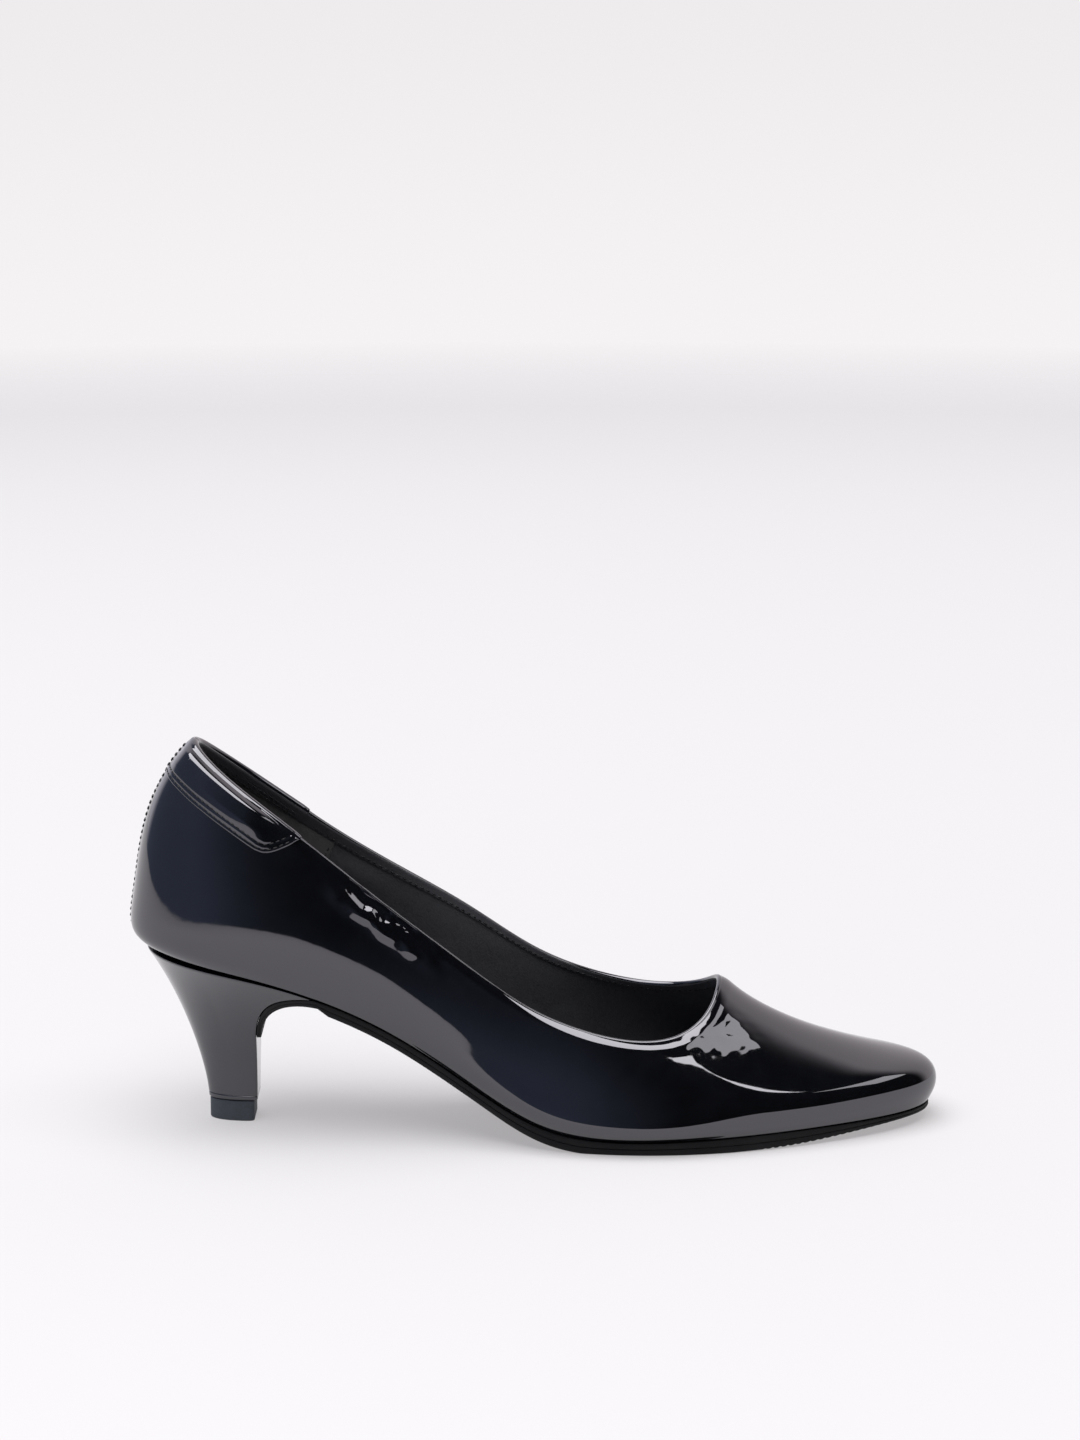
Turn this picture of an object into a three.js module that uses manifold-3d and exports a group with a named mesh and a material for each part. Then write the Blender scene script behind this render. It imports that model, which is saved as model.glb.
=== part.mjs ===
// A woman's court shoe with a pointed toe and a 55 mm cone heel, for the right foot, European size 38.
// Millimetres, +X from heel to toe, +Y to the inner (medial) side of the foot, +Z up, standing on z = 0.
//
// Everything is built round one surface, the outside of the lasted upper. It is a ring of spokes: u counts
// spokes round the shoe, from the back seam (0) by the outer side to the toe (TOE) and back by the inner
// side, and v runs up each spoke, from the feather edge at the sole (0) to the topline (ROWS).

import * as THREE from "three";
import { mergeVertices } from "three/addons/utils/BufferGeometryUtils.js";
import Module from "manifold-3d";

const wasm = await Module();
wasm.setup();

// ---------------------------------------------------------------- the last: driving dimensions

const GAP = 0.2; // clear space between two layers that are cemented together

// Height of the feather edge above the ground, every BOTTOM_STEP from BOTTOM_START towards the toe.
const BOTTOM_START = -140;
const BOTTOM_STEP = 20;
const BOTTOM_HEIGHTS = [60.5, 58.2, 54.6, 50, 42.6, 32.5, 19, 6.2, 4, 4.4, 4.9, 5.2, 5.4, 5.4, 5.4];

// One entry per pair of spokes, from the back seam to the toe. edge is [x, outer y, inner y] of the feather
// edge, top is the same of the topline, and height is the topline's [outer, inner] height above the ground.
// heel and toe say how much the spoke's wall follows the heel's or the toe's profile.
const STATIONS = [
  { edge: [-119.3, 0, 0], top: [-103.6, 0, 0], height: [120, 120], heel: 1, toe: 0 },
  { edge: [-117, -15, 15], top: [-102.3, -8, 8], height: [118.6, 118.4], heel: 0.9, toe: 0 },
  { edge: [-103.5, -26.5, 26], top: [-91, -17, 17], height: [109, 108.4], heel: 0.5, toe: 0 },
  { edge: [-79, -28.3, 26.6], top: [-68, -21.5, 20], height: [92.2, 90.9], heel: 0.15, toe: 0 },
  { edge: [-48, -25, 20.5], top: [-44, -23.2, 22], height: [72.4, 74.8], heel: 0, toe: 0 },
  { edge: [-17, -28.8, 18.5], top: [-19, -25.3, 24.3], height: [54.6, 61.1], heel: 0, toe: 0 },
  { edge: [10, -38, 26], top: [5, -30, 27.5], height: [41, 45.2], heel: 0, toe: 0 },
  { edge: [36, -41, 37.5], top: [26, -32, 29.5], height: [34, 37.3], heel: 0, toe: 0 },
  { edge: [63, -37, 39], top: [42, -27.5, 26.5], height: [33, 36], heel: 0, toe: 0.3 },
  { edge: [92, -26, 31], top: [52, -18.5, 18.5], height: [37.6, 39.5], heel: 0, toe: 0.8 },
  { edge: [116, -13, 18.5], top: [56, -8.5, 9], height: [43.6, 44], heel: 0, toe: 1 },
  { edge: [124.3, 2.5, 2.5], top: [57.2, 0.5, 0.5], height: [46.2, 46.2], heel: 0, toe: 1 },
];
const TOE = STATIONS.length - 1;
const SPOKES = 2 * TOE;

// How a spoke's wall climbs from edge to topline: inwards and up are shares of the way, out is a bulge in mm.
const WALLS = {
  side: {
    inwards: [0, 0, 0.04, 0.18, 0.42, 0.74, 1],
    up: [0, 0.09, 0.27, 0.48, 0.68, 0.86, 1],
    out: [0, 1.8, 2.6, 2.4, 1.4, 0.5, 0],
  },
  heel: {
    inwards: [0, 0, 0, 0.06, 0.24, 0.6, 1],
    up: [0, 0.035, 0.21, 0.48, 0.7, 0.88, 1],
    out: [0, 6.2, 3.9, 2.6, 1.2, 0.2, 0],
  },
  toe: {
    inwards: [0, -0.05, -0.02, 0.22, 0.6, 0.87, 1],
    up: [0, 0.13, 0.33, 0.385, 0.57, 0.8, 1],
    out: [0, 0, 0, 0, 0, 0, 0],
  },
};
const ROWS = WALLS.side.up.length - 1;

// ---------------------------------------------------------------- the last: its surface

// The four weights of a uniform cubic B-spline at f, from 0 to 1, within a span.
function splineWeights(f) {
  const g = 1 - f;
  return [g ** 3 / 6, (3 * f ** 3 - 6 * f * f + 4) / 6, (3 * g ** 3 - 6 * g * g + 4) / 6, f ** 3 / 6];
}

// Height of the feather edge, and of the flat bottom of the last, at x.
function bottomHeight(x) {
  const t = (x - BOTTOM_START) / BOTTOM_STEP;
  const span = Math.floor(t);
  const highest = BOTTOM_HEIGHTS.length - 1;
  return splineWeights(t - span).reduce(
    (sum, weight, k) => sum + weight * BOTTOM_HEIGHTS[THREE.MathUtils.clamp(span - 1 + k, 0, highest)],
    0,
  );
}

// The spokes in order round the shoe, each with its own side's numbers.
const spokes = Array.from({ length: SPOKES }, (_, i) => {
  const station = STATIONS[i <= TOE ? i : SPOKES - i];
  const side = i <= TOE ? 0 : 1;
  return {
    edge: new THREE.Vector2(station.edge[0], station.edge[1 + side]),
    top: new THREE.Vector2(station.top[0], station.top[1 + side]),
    rise: station.height[side] - bottomHeight(station.top[0]),
    heel: station.heel,
    toe: station.toe,
  };
});

// The control point of spoke i and row k: x and y, and z as the height above the bottom.
function controlPoint(i, k) {
  const spoke = spokes[i];
  const before = spokes[(i + SPOKES - 1) % SPOKES].edge;
  const after = spokes[(i + 1) % SPOKES].edge;
  const outwards = new THREE.Vector2(after.y - before.y, before.x - after.x).normalize();
  const share = (what) =>
    WALLS.side[what][k] * (1 - spoke.heel - spoke.toe) +
    WALLS.heel[what][k] * spoke.heel +
    WALLS.toe[what][k] * spoke.toe;
  const flat = spoke.edge.clone().lerp(spoke.top, share("inwards")).addScaledVector(outwards, share("out"));
  return new THREE.Vector3(flat.x, flat.y, spoke.rise * share("up"));
}

// The control net, with one more row at each end so that the surface reaches its first and last rows.
const net = spokes.map((_, i) => {
  const rows = Array.from({ length: ROWS + 1 }, (_, k) => controlPoint(i, k));
  const before = rows[0].clone().multiplyScalar(2).sub(rows[1]);
  const after = rows[ROWS].clone().multiplyScalar(2).sub(rows[ROWS - 1]);
  return [before, ...rows, after];
});

// A point of the outside of the upper.
function lastPoint(u, v) {
  const spanU = Math.floor(u);
  const spanV = THREE.MathUtils.clamp(Math.floor(v), 0, ROWS - 1);
  const weightsU = splineWeights(u - spanU);
  const weightsV = splineWeights(v - spanV);
  const point = new THREE.Vector3();
  weightsU.forEach((weightU, a) => {
    const column = net[THREE.MathUtils.euclideanModulo(spanU - 1 + a, SPOKES)];
    weightsV.forEach((weightV, b) => point.addScaledVector(column[spanV + b], weightU * weightV));
  });
  point.z += bottomHeight(point.x);
  return point;
}

// The outward normal there, from two short steps along the surface.
function lastNormal(u, v) {
  const step = 0.01;
  const low = Math.max(v - step, 0);
  const high = Math.min(v + step, ROWS);
  const along = lastPoint(u + step, v).sub(lastPoint(u - step, v));
  const up = lastPoint(u, high).sub(lastPoint(u, low));
  return along.cross(up).normalize();
}

// A point that deep under the outside of the upper.
function under(u, v, depth) {
  return lastPoint(u, v).addScaledVector(lastNormal(u, v), -depth);
}

// A point of the bottom: inset from the feather edge at u, and lifted above the bottom plane.
function onBottom(u, inset, lift) {
  const along = lastPoint(u + 0.01, 0).sub(lastPoint(u - 0.01, 0));
  const inwards = new THREE.Vector2(-along.y, along.x).normalize();
  const edge = lastPoint(u, 0);
  const point = new THREE.Vector3(edge.x + inwards.x * inset, edge.y + inwards.y * inset, 0);
  point.z = bottomHeight(point.x) + lift;
  return point;
}

// ---------------------------------------------------------------- solids from sections

const series = (from, to, count) =>
  Array.from({ length: count + 1 }, (_, i) => from + ((to - from) * i) / count);
const smooth = (value, from, to) => {
  const way = from < to ? 1 : -1;
  return THREE.MathUtils.smoothstep(way * value, way * from, way * to);
};

// Joins a row of closed sections, each a loop with the same even number of points, into one closed mesh.
// An end is closed across its section, by a ladder from its first and last points to its middle ones.
function sweep(sections, { ring = false } = {}) {
  const size = sections[0].length;
  const count = sections.length;
  const positions = sections.flat().flatMap((point) => point.toArray());
  const faces = [];
  const quad = (a, b, c, d) => faces.push(a, b, c, a, c, d);
  for (let i = 0; i < (ring ? count : count - 1); i += 1) {
    const here = i * size;
    const next = ((i + 1) % count) * size;
    for (let k = 0; k < size; k += 1) {
      const after = (k + 1) % size;
      quad(here + k, next + k, next + after, here + after);
    }
  }
  if (!ring) {
    const last = (count - 1) * size;
    for (let k = 0; k < size / 2 - 1; k += 1) {
      quad(k, k + 1, size - 2 - k, size - 1 - k);
      quad(last + k, last + size - 1 - k, last + size - 2 - k, last + k + 1);
    }
  }
  const geometry = new THREE.BufferGeometry();
  geometry.setAttribute("position", new THREE.Float32BufferAttribute(positions, 3));
  geometry.setIndex(signedVolume(positions, faces) < 0 ? faces.reverse() : faces);
  return geometry;
}

// Six times the volume inside a closed mesh, below zero if its faces point inwards.
function signedVolume(positions, faces) {
  const corner = (i) => new THREE.Vector3().fromArray(positions, 3 * i);
  let total = 0;
  for (let i = 0; i < faces.length; i += 3) {
    total += corner(faces[i]).dot(corner(faces[i + 1]).cross(corner(faces[i + 2])));
  }
  return total;
}

// Places round the shoe that every layer shares, so that the flat faces of one lie along its neighbour's.
const PER_SPOKE = 4;
function places(from, to) {
  const inside = [];
  for (let i = Math.ceil(from * PER_SPOKE + 0.1); i < to * PER_SPOKE - 0.1; i += 1) {
    inside.push(i / PER_SPOKE);
  }
  return [from, ...inside, to];
}

// A layer of the upper between two depths, over a stretch of u and a list of v.
function layer({ from, to, rows, outer, inner }) {
  return sweep(
    places(from, to).map((u) => [
      ...rows.map((v) => under(u, v, outer(u, v))),
      ...[...rows].reverse().map((v) => under(u, v, inner(u, v))),
    ]),
  );
}

// Such a layer that is also drawn round the feather edge and cemented under the insole: a lasting margin.
function lastedLayer({ from, to, rows, outer, thick, lift, margin }) {
  return sweep(
    places(from, to).map((u) => {
      const wide = margin(u);
      const corner = outer(u, 0);
      return [
        onBottom(u, wide, lift),
        onBottom(u, (wide + corner) / 2, lift),
        ...rows.map((v) => (v === 0 ? onBottom(u, corner, lift) : under(u, v, outer(u, v)))),
        ...[...rows].reverse().map((v) =>
          v === 0 ? onBottom(u, corner + thick, lift + thick) : under(u, v, outer(u, v) + thick),
        ),
        onBottom(u, (wide + corner + thick) / 2, lift + thick),
        onBottom(u, wide, lift + thick),
      ];
    }),
  );
}

// The outline of the bottom, moved inwards by inset(u) and read as [outer y, inner y] at any x in its range.
function outline(inset) {
  const side = (from, to) =>
    series(from, to, 160)
      .map((u) => onBottom(u, inset(u), 0))
      .sort((a, b) => a.x - b.x);
  const outerSide = side(0, TOE);
  const innerSide = side(TOE, SPOKES);
  const widthAt = (points, x) => {
    const next = points.findIndex((point) => point.x >= x);
    const [a, b] = [points[Math.max(next - 1, 0)], points[Math.max(next, 1)]];
    return THREE.MathUtils.mapLinear(x, a.x, b.x, a.y, b.y);
  };
  return {
    heel: Math.max(outerSide[0].x, innerSide[0].x),
    toe: Math.min(outerSide.at(-1).x, innerSide.at(-1).x),
    at: (x) => [widthAt(outerSide, x), widthAt(innerSide, x)],
  };
}

// Places along x for the rungs of a board: every RUNG, and closer together where an end is round.
const RUNG = 4;
const ROUND_END = 10;
function rungs(from, to, { roundFrom = true, roundTo = true } = {}) {
  const eased = series(0, 1, 4).map((t) => ROUND_END * (1 - Math.cos((Math.PI / 2) * t)));
  const head = roundFrom ? eased.map((step) => from + step) : [from];
  const tail = roundTo ? eased.map((step) => to - step).reverse() : [to];
  const even = [];
  for (let x = Math.ceil((head.at(-1) + 1) / RUNG) * RUNG; x < tail[0] - 1; x += RUNG) even.push(x);
  return [...head, ...even, ...tail];
}

// A board, pad or filler: an outline laid on the bottom, between two heights above it.
function slab(shape, places, low, high) {
  return sweep(
    places.map((x) => {
      const [outerY, innerY] = shape.at(x);
      const [bottom, top] = [bottomHeight(x) + low(x), bottomHeight(x) + high(x)];
      return [
        new THREE.Vector3(x, outerY, bottom),
        new THREE.Vector3(x, innerY, bottom),
        new THREE.Vector3(x, innerY, top),
        new THREE.Vector3(x, outerY, top),
      ];
    }),
  );
}

// A round piece about the Z axis, from a profile of [radius, height] pairs that starts and ends on the axis.
function turned(profile, sides = 20) {
  const points = profile.map(([radius, height]) => new THREE.Vector2(radius, height));
  return new THREE.LatheGeometry(points, sides).rotateX(Math.PI / 2);
}

// ---------------------------------------------------------------- booleans

function toSolid(geometry) {
  const bare = geometry.clone();
  bare.deleteAttribute("normal");
  bare.deleteAttribute("uv");
  const merged = mergeVertices(bare, 1e-4);
  return new wasm.Manifold(
    new wasm.Mesh({
      numProp: 3,
      vertProperties: merged.attributes.position.array,
      triVerts: new Uint32Array(merged.index.array),
    }),
  );
}

function toGeometry(solid) {
  const mesh = solid.getMesh();
  const geometry = new THREE.BufferGeometry();
  geometry.setAttribute("position", new THREE.BufferAttribute(new Float32Array(mesh.vertProperties), 3));
  geometry.setIndex(new THREE.BufferAttribute(new Uint32Array(mesh.triVerts), 1));
  return geometry;
}

function cutAway(geometry, cutters) {
  return toGeometry(cutters.reduce((solid, cutter) => solid.subtract(toSolid(cutter)), toSolid(geometry)));
}

// ---------------------------------------------------------------- materials

const finish = (color, roughness, metalness = 0) =>
  new THREE.MeshStandardMaterial({ color, roughness, metalness });
const materials = {
  patent: finish(0x08090c, 0.08),
  lining: finish(0x15161a, 0.7),
  heelGrip: finish(0x26262a, 0.95),
  stiffener: finish(0xb9ab8c, 0.9),
  tape: finish(0xe6e2d8, 0.9),
  board: finish(0x8a6a48, 0.9),
  foam: finish(0xd9c27a, 0.95),
  outsole: finish(0x101114, 0.45),
  heelShell: finish(0x0a0c12, 0.18),
  rubber: finish(0x14161a, 0.6),
  steel: finish(0xb4b7ba, 0.35, 1),
};

const shoe = new THREE.Group();

function add(name, geometry, material) {
  const mesh = new THREE.Mesh(geometry, material);
  mesh.name = name;
  shoe.add(mesh);
}

// ---------------------------------------------------------------- upper and lining

const UPPER_THICK = 1;
const LINING_THICK = 0.6;
const TAPE_THICK = 0.35;
const PATCH_THICK = 0.8;
const HALF_SEAM = 0.012; // half the slit of a butted back seam, in spokes
const UNDER_UPPER = UPPER_THICK + 0.15;

// Distance from the back seam and from the toe, in spokes.
const fromSeam = (u) => Math.min(Math.abs(u), Math.abs(SPOKES - u));
const fromToe = (u) => Math.abs(u - TOE);

// Where the counter and the toe puff push the lining inwards, from 0 to 1.
const counterBulk = (u, v) => smooth(fromSeam(u), 4.6, 3) * smooth(v, 5.4, 4.2);
const puffBulk = (u, v) => smooth(fromToe(u), 3.6, 2.2) * smooth(v, 4.2, 3.2);
const liningDepth = (u, v) => UNDER_UPPER + TAPE_THICK + GAP + 2 * counterBulk(u, v) + 0.9 * puffBulk(u, v);

const WALL_ROWS = [0, 0.3, 0.7, 1.2, 1.7, 2.2, 2.8, 3.4, 4, 4.6, 5.3, 6];
const wallRows = (low, high) => WALL_ROWS.filter((v) => v >= low && v <= high);
const MARGIN = 11;
const TOE_MARGIN = 7;
const marginWidth = (u) => THREE.MathUtils.lerp(MARGIN, TOE_MARGIN, smooth(fromToe(u), 3, 0.5));

add(
  "vamp_and_quarters",
  lastedLayer({
    from: HALF_SEAM,
    to: SPOKES - HALF_SEAM,
    rows: WALL_ROWS,
    outer: () => 0,
    thick: UPPER_THICK,
    lift: 0,
    margin: marginWidth,
  }),
  materials.patent,
);

// The lining is a C round the forepart and waist, and the heel grip closes it at the back.
const GRIP_END = 3.35;
const LINING_ROWS = [...WALL_ROWS.slice(0, -1), 5.92];
const lined = { rows: LINING_ROWS, outer: liningDepth, thick: LINING_THICK, lift: UPPER_THICK + GAP };
const liningMargin = (u) => marginWidth(u) + 0.5;
add(
  "vamp_lining",
  lastedLayer({ ...lined, from: GRIP_END, to: SPOKES - GRIP_END, margin: liningMargin }),
  materials.lining,
);
add(
  "heel_grip_lining",
  lastedLayer({
    ...lined,
    outer: (u, v) => liningDepth(Math.abs(u), v),
    from: -GRIP_END + 0.02,
    to: GRIP_END - 0.02,
    margin: liningMargin,
  }),
  materials.heelGrip,
);

// The collar patch: its lower edge falls from the back seam to a corner, then turns up to the topline.
const PATCH_AT_SEAM = 4.68;
const PATCH_CORNER = { u: 2.68, v: 4.46 };
const PATCH_END = 2.93;
const patchEdge = (distance) => {
  if (distance > PATCH_CORNER.u) {
    return THREE.MathUtils.mapLinear(distance, PATCH_CORNER.u, PATCH_END, PATCH_CORNER.v, ROWS - 0.25);
  }
  const along = distance / PATCH_CORNER.u;
  return THREE.MathUtils.lerp(PATCH_AT_SEAM, PATCH_CORNER.v, along ** 3);
};
const patchPlaces = [HALF_SEAM, ...series(0.25, 2.5, 9), PATCH_CORNER.u, 2.75, 2.84, PATCH_END - 0.02];
const collarPatch = (onSide) =>
  sweep(
    patchPlaces.map((distance) => {
      const rows = series(patchEdge(distance), ROWS, 5);
      const u = onSide(distance);
      return [
        ...rows.map((v) => under(u, v, -GAP)),
        ...[...rows].reverse().map((v) => under(u, v, -GAP - PATCH_THICK)),
      ];
    }),
  );
add("collar_patch_outer_side", collarPatch((distance) => distance), materials.patent);
add("collar_patch_inner_side", collarPatch((distance) => SPOKES - distance), materials.patent);

// Tapes that stop the back seam and the topline from stretching.
const tape = { outer: () => UNDER_UPPER, inner: () => UNDER_UPPER + TAPE_THICK };
add("back_seam_tape", layer({ ...tape, from: -0.25, to: 0.25, rows: wallRows(0.7, 4.6) }), materials.tape);
add(
  "topline_tape",
  layer({ ...tape, from: HALF_SEAM, to: SPOKES - HALF_SEAM, rows: [5.3, 5.85] }),
  materials.tape,
);

// The counter and the toe puff are thinned (skived) towards their edges.
const counterThick = (u, v) => 0.35 + 1.1 * smooth(Math.abs(u), 3.6, 2.6) * smooth(v, 4.6, 3.8);
const COUNTER_DEPTH = UNDER_UPPER + TAPE_THICK + GAP;
add(
  "heel_counter",
  layer({
    from: -3.5,
    to: 3.5,
    rows: wallRows(0.3, 4.6),
    outer: () => COUNTER_DEPTH,
    inner: (u, v) => COUNTER_DEPTH + counterThick(u, v),
  }),
  materials.stiffener,
);
const puffThick = (u, v) => 0.3 + 0.5 * smooth(fromToe(u), 2.6, 1.8) * smooth(v, 3.4, 2.6);
add(
  "toe_puff",
  layer({
    from: TOE - 2.5,
    to: TOE + 2.5,
    rows: wallRows(0.3, 3.4),
    outer: () => UNDER_UPPER,
    inner: (u, v) => UNDER_UPPER + puffThick(u, v),
  }),
  materials.stiffener,
);

// ---------------------------------------------------------------- insole, shank and padding

const INSOLE_LOW = UPPER_THICK + GAP + LINING_THICK + GAP + 0.1;
const INSOLE_THICK = 2;
const INSOLE_TOP = INSOLE_LOW + INSOLE_THICK;
const insoleInset = (u) => liningDepth(u, 0) + LINING_THICK + 0.3;
const insoleShape = outline(insoleInset);

const SHANK = { rear: -104, front: -3, halfWidth: 5.5, low: 0.4, thick: 1.3 };
const SCREW = { x: -97, radius: 1.9, headRadius: 3.6, headThick: 1.2, length: 19 };
const RIVETS = { shank_rivet_rear: -62, shank_rivet_front: -14 };
const RIVET_RADIUS = 1.6;
const NAILS = [
  [-104, -7],
  [-104, 7],
  [-89, -10.5],
  [-89, 10.5],
];
const NAIL = { radius: 0.9, headRadius: 2.2, headThick: 0.7, length: 15 };

// Fixings are driven square to the board they hold, and their holes are a little wider than they are.
const HOLE_CLEARANCE = 0.2;
const pitchBetween = (rear, front) => Math.atan((bottomHeight(rear) - bottomHeight(front)) / (front - rear));
const seatPitch = pitchBetween(-112, -86);
const drive = (geometry, x, y, pitch) =>
  geometry.rotateY(pitch).translate(x, y, bottomHeight(x) + INSOLE_TOP);
const hole = (radius, depth) => {
  const wide = radius + HOLE_CLEARANCE;
  return turned([[0, -depth - 0.6], [wide, -depth - 0.6], [wide, 6], [0, 6]]);
};
const nailHoles = NAILS.map(([x, y]) => drive(hole(NAIL.radius, NAIL.length), x, y, seatPitch));
const screwHole = drive(hole(SCREW.radius, SCREW.length), SCREW.x, 0, seatPitch);
const rivetPitch = (x) => pitchBetween(x - 3, x + 3);
const rivetHoles = Object.values(RIVETS).map((x) => drive(hole(RIVET_RADIUS, 8), x, 0, rivetPitch(x)));

const insolePlaces = rungs(insoleShape.heel + 0.1, insoleShape.toe - 0.1);
add(
  "insole_board",
  cutAway(
    slab(insoleShape, insolePlaces, () => INSOLE_LOW, () => INSOLE_TOP),
    [...nailHoles, screwHole, ...rivetHoles],
  ),
  materials.board,
);

// The shank is a spring-steel strip with round ends and a stiffening rib along its middle.
const shankHalfWidth = (x) => {
  const fromEnd = Math.min(x - SHANK.rear, SHANK.front - x);
  const round = SHANK.halfWidth;
  return fromEnd >= round ? round : Math.sqrt(Math.max(round ** 2 - (round - fromEnd) ** 2, 0.5));
};
const RIB = { halfWidth: 1.8, height: 0.25, rear: -52, front: -22 };
const shankSection = (x) => {
  const half = shankHalfWidth(x);
  const rib = RIB.height * smooth(x, RIB.rear - 4, RIB.rear) * smooth(x, RIB.front + 4, RIB.front);
  const ys = [-half, -Math.min(RIB.halfWidth, half / 2), Math.min(RIB.halfWidth, half / 2), half];
  const ribs = [0, rib, rib, 0];
  const low = bottomHeight(x) + SHANK.low;
  return [
    ...ys.map((y, k) => new THREE.Vector3(x, y, low - ribs[k])),
    ...ys.map((y, k) => new THREE.Vector3(x, y, low + SHANK.thick - ribs[k])).reverse(),
  ];
};
const shankPlaces = rungs(SHANK.rear, SHANK.front);
add(
  "steel_shank",
  cutAway(sweep(shankPlaces.map(shankSection)), [screwHole, ...rivetHoles]),
  materials.steel,
);
const rivetProfile = (depth) => [
  [0, -depth],
  [RIVET_RADIUS, -depth],
  [RIVET_RADIUS, 0.1],
  [2.9, 0.1],
  [2.4, 0.75],
  [0, 0.9],
];
for (const [name, x] of Object.entries(RIVETS)) {
  const depth = INSOLE_TOP * Math.cos(rivetPitch(x)) - 0.35;
  add(name, drive(turned(rivetProfile(depth)), x, 0, rivetPitch(x)), materials.steel);
}

// Cork fills the hollow between the lasting margins of the forepart.
const fillerShape = outline((u) => liningMargin(u) + 0.6);
const fillerPlaces = rungs(SHANK.front + 2, fillerShape.toe - 0.5, { roundFrom: false });
add("forepart_filler", slab(fillerShape, fillerPlaces, () => GAP, () => INSOLE_LOW - GAP), materials.board);

// Foam under the sock, and the sock itself, which is what the foot stands on.
const PAD_LOW = INSOLE_TOP + 1.1;
const padShape = outline((u) => insoleInset(u) + 1.6);
const heelPadHigh = (x) => PAD_LOW + 0.5 + 2 * smooth(x, -48, -64);
add(
  "heel_cushion",
  slab(padShape, rungs(padShape.heel + 0.1, -46, { roundTo: false }), () => PAD_LOW, heelPadHigh),
  materials.foam,
);
const forePadHigh = (x) => PAD_LOW + 0.4 + 1.2 * smooth(x, -10, 2) * smooth(x, 82, 70);
add(
  "forefoot_cushion",
  slab(padShape, rungs(-12, 84, { roundFrom: false, roundTo: false }), () => PAD_LOW, forePadHigh),
  materials.foam,
);
const SOCK_THICK = 0.8;
const sockLow = (x) => Math.max(heelPadHigh(x) - (x > -46 ? 0.5 : 0), forePadHigh(x)) + GAP + 0.15;
const sockShape = outline((u) => insoleInset(u) + 0.2);
const sockPlaces = rungs(sockShape.heel + 0.1, sockShape.toe - 0.1);
add("sock_lining", slab(sockShape, sockPlaces, sockLow, (x) => sockLow(x) + SOCK_THICK), materials.lining);

// ---------------------------------------------------------------- heel

const TIP = { z: 6.8, centre: -88, length: 12.6, halfWidth: 6.4, breast: -85.25 };
const SEAT_INSET = -0.2;
const SEAT_GAP = 0.3;
const SEAT_SPOKES = 4;
const TIP_TURN = THREE.MathUtils.degToRad(33); // how far round the tip one spoke of the seat lies

// The line between the heel's breast and the flap of the outsole, from the waist down.
const breastLine = new THREE.CubicBezierCurve(
  new THREE.Vector2(-66, bottomHeight(-66) - 0.25),
  new THREE.Vector2(-76, 44.2),
  new THREE.Vector2(-84.3, 42.5),
  new THREE.Vector2(-84.85, 28.5),
);
const flapLine = new THREE.CubicBezierCurve(
  new THREE.Vector2(-64.5, 41.6),
  new THREE.Vector2(-73, 43),
  new THREE.Vector2(-82.4, 40.5),
  new THREE.Vector2(-83.35, 28.5),
);

// A point of the heel's side: u is the spoke of the seat above it, and t goes from the tip to the seat.
function heelPoint(u, t) {
  const angle = Math.abs(u) * TIP_TURN;
  const side = Math.sign(u) || 1;
  const tip = new THREE.Vector2(
    TIP.centre - TIP.length * Math.cos(angle),
    -side * TIP.halfWidth * Math.sin(angle),
  );
  const seat = onBottom(THREE.MathUtils.euclideanModulo(u, SPOKES), SEAT_INSET, 0);
  const flare = t ** THREE.MathUtils.mapLinear(Math.min(Math.abs(u), 2), 0, 2, 1.5, 2.1);
  return new THREE.Vector3(
    THREE.MathUtils.lerp(tip.x, seat.x, flare),
    THREE.MathUtils.lerp(tip.y, seat.y, flare),
    THREE.MathUtils.lerp(TIP.z, seat.z, t),
  );
}

const heelSpokes = series(-SEAT_SPOKES, SEAT_SPOKES, 40);
const heelRings = series(0, 1, 14).map((t) => heelSpokes.map((u) => heelPoint(u, t)));
heelRings.push(heelRings.at(-1).map((point) => new THREE.Vector3(point.x, point.y, 75)));
// Each ring starts at the front, so that its two halves close across the heel.
const heelLoft = sweep(heelRings.map((ring) => ring.slice(0, 20).concat(ring.slice(21))));

const seatCutter = slab(
  { at: () => [-45, 45] },
  series(-135, -30, 42),
  () => -SEAT_GAP,
  () => 60,
);
const breastProfile = new THREE.Shape([
  new THREE.Vector2(TIP.breast, -5),
  ...breastLine.getPoints(14).reverse().map((p) => p.clone().add(new THREE.Vector2(-0.3, 0))),
  new THREE.Vector2(-60, 60),
  new THREE.Vector2(-20, 60),
  new THREE.Vector2(-20, -5),
]);
const breastCutter = new THREE.ExtrudeGeometry(breastProfile, { depth: 100, bevelEnabled: false })
  .rotateX(Math.PI / 2)
  .translate(0, 50, 0);

const TUBE = { x: -91.5, outer: 2.1, inner: 1.35, low: 7.4, high: 36 };
const PIN = { radius: 1.15, low: 4.2, high: 19 };
const boreRadius = TUBE.outer + 0.15;
const tubeBore = turned([[0, 0], [boreRadius, 0], [boreRadius, TUBE.high + 0.6], [0, TUBE.high + 0.6]])
  .translate(TUBE.x, 0, 0);
add(
  "heel_block",
  cutAway(heelLoft, [seatCutter, breastCutter, tubeBore, screwHole, ...nailHoles]),
  materials.heelShell,
);
add(
  "heel_tube",
  turned(
    [
      [TUBE.inner, TUBE.low],
      [TUBE.outer, TUBE.low],
      [TUBE.outer, TUBE.high],
      [TUBE.inner, TUBE.high],
      [TUBE.inner, TUBE.low],
    ],
  ).translate(TUBE.x, 0, 0),
  materials.steel,
);

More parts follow.
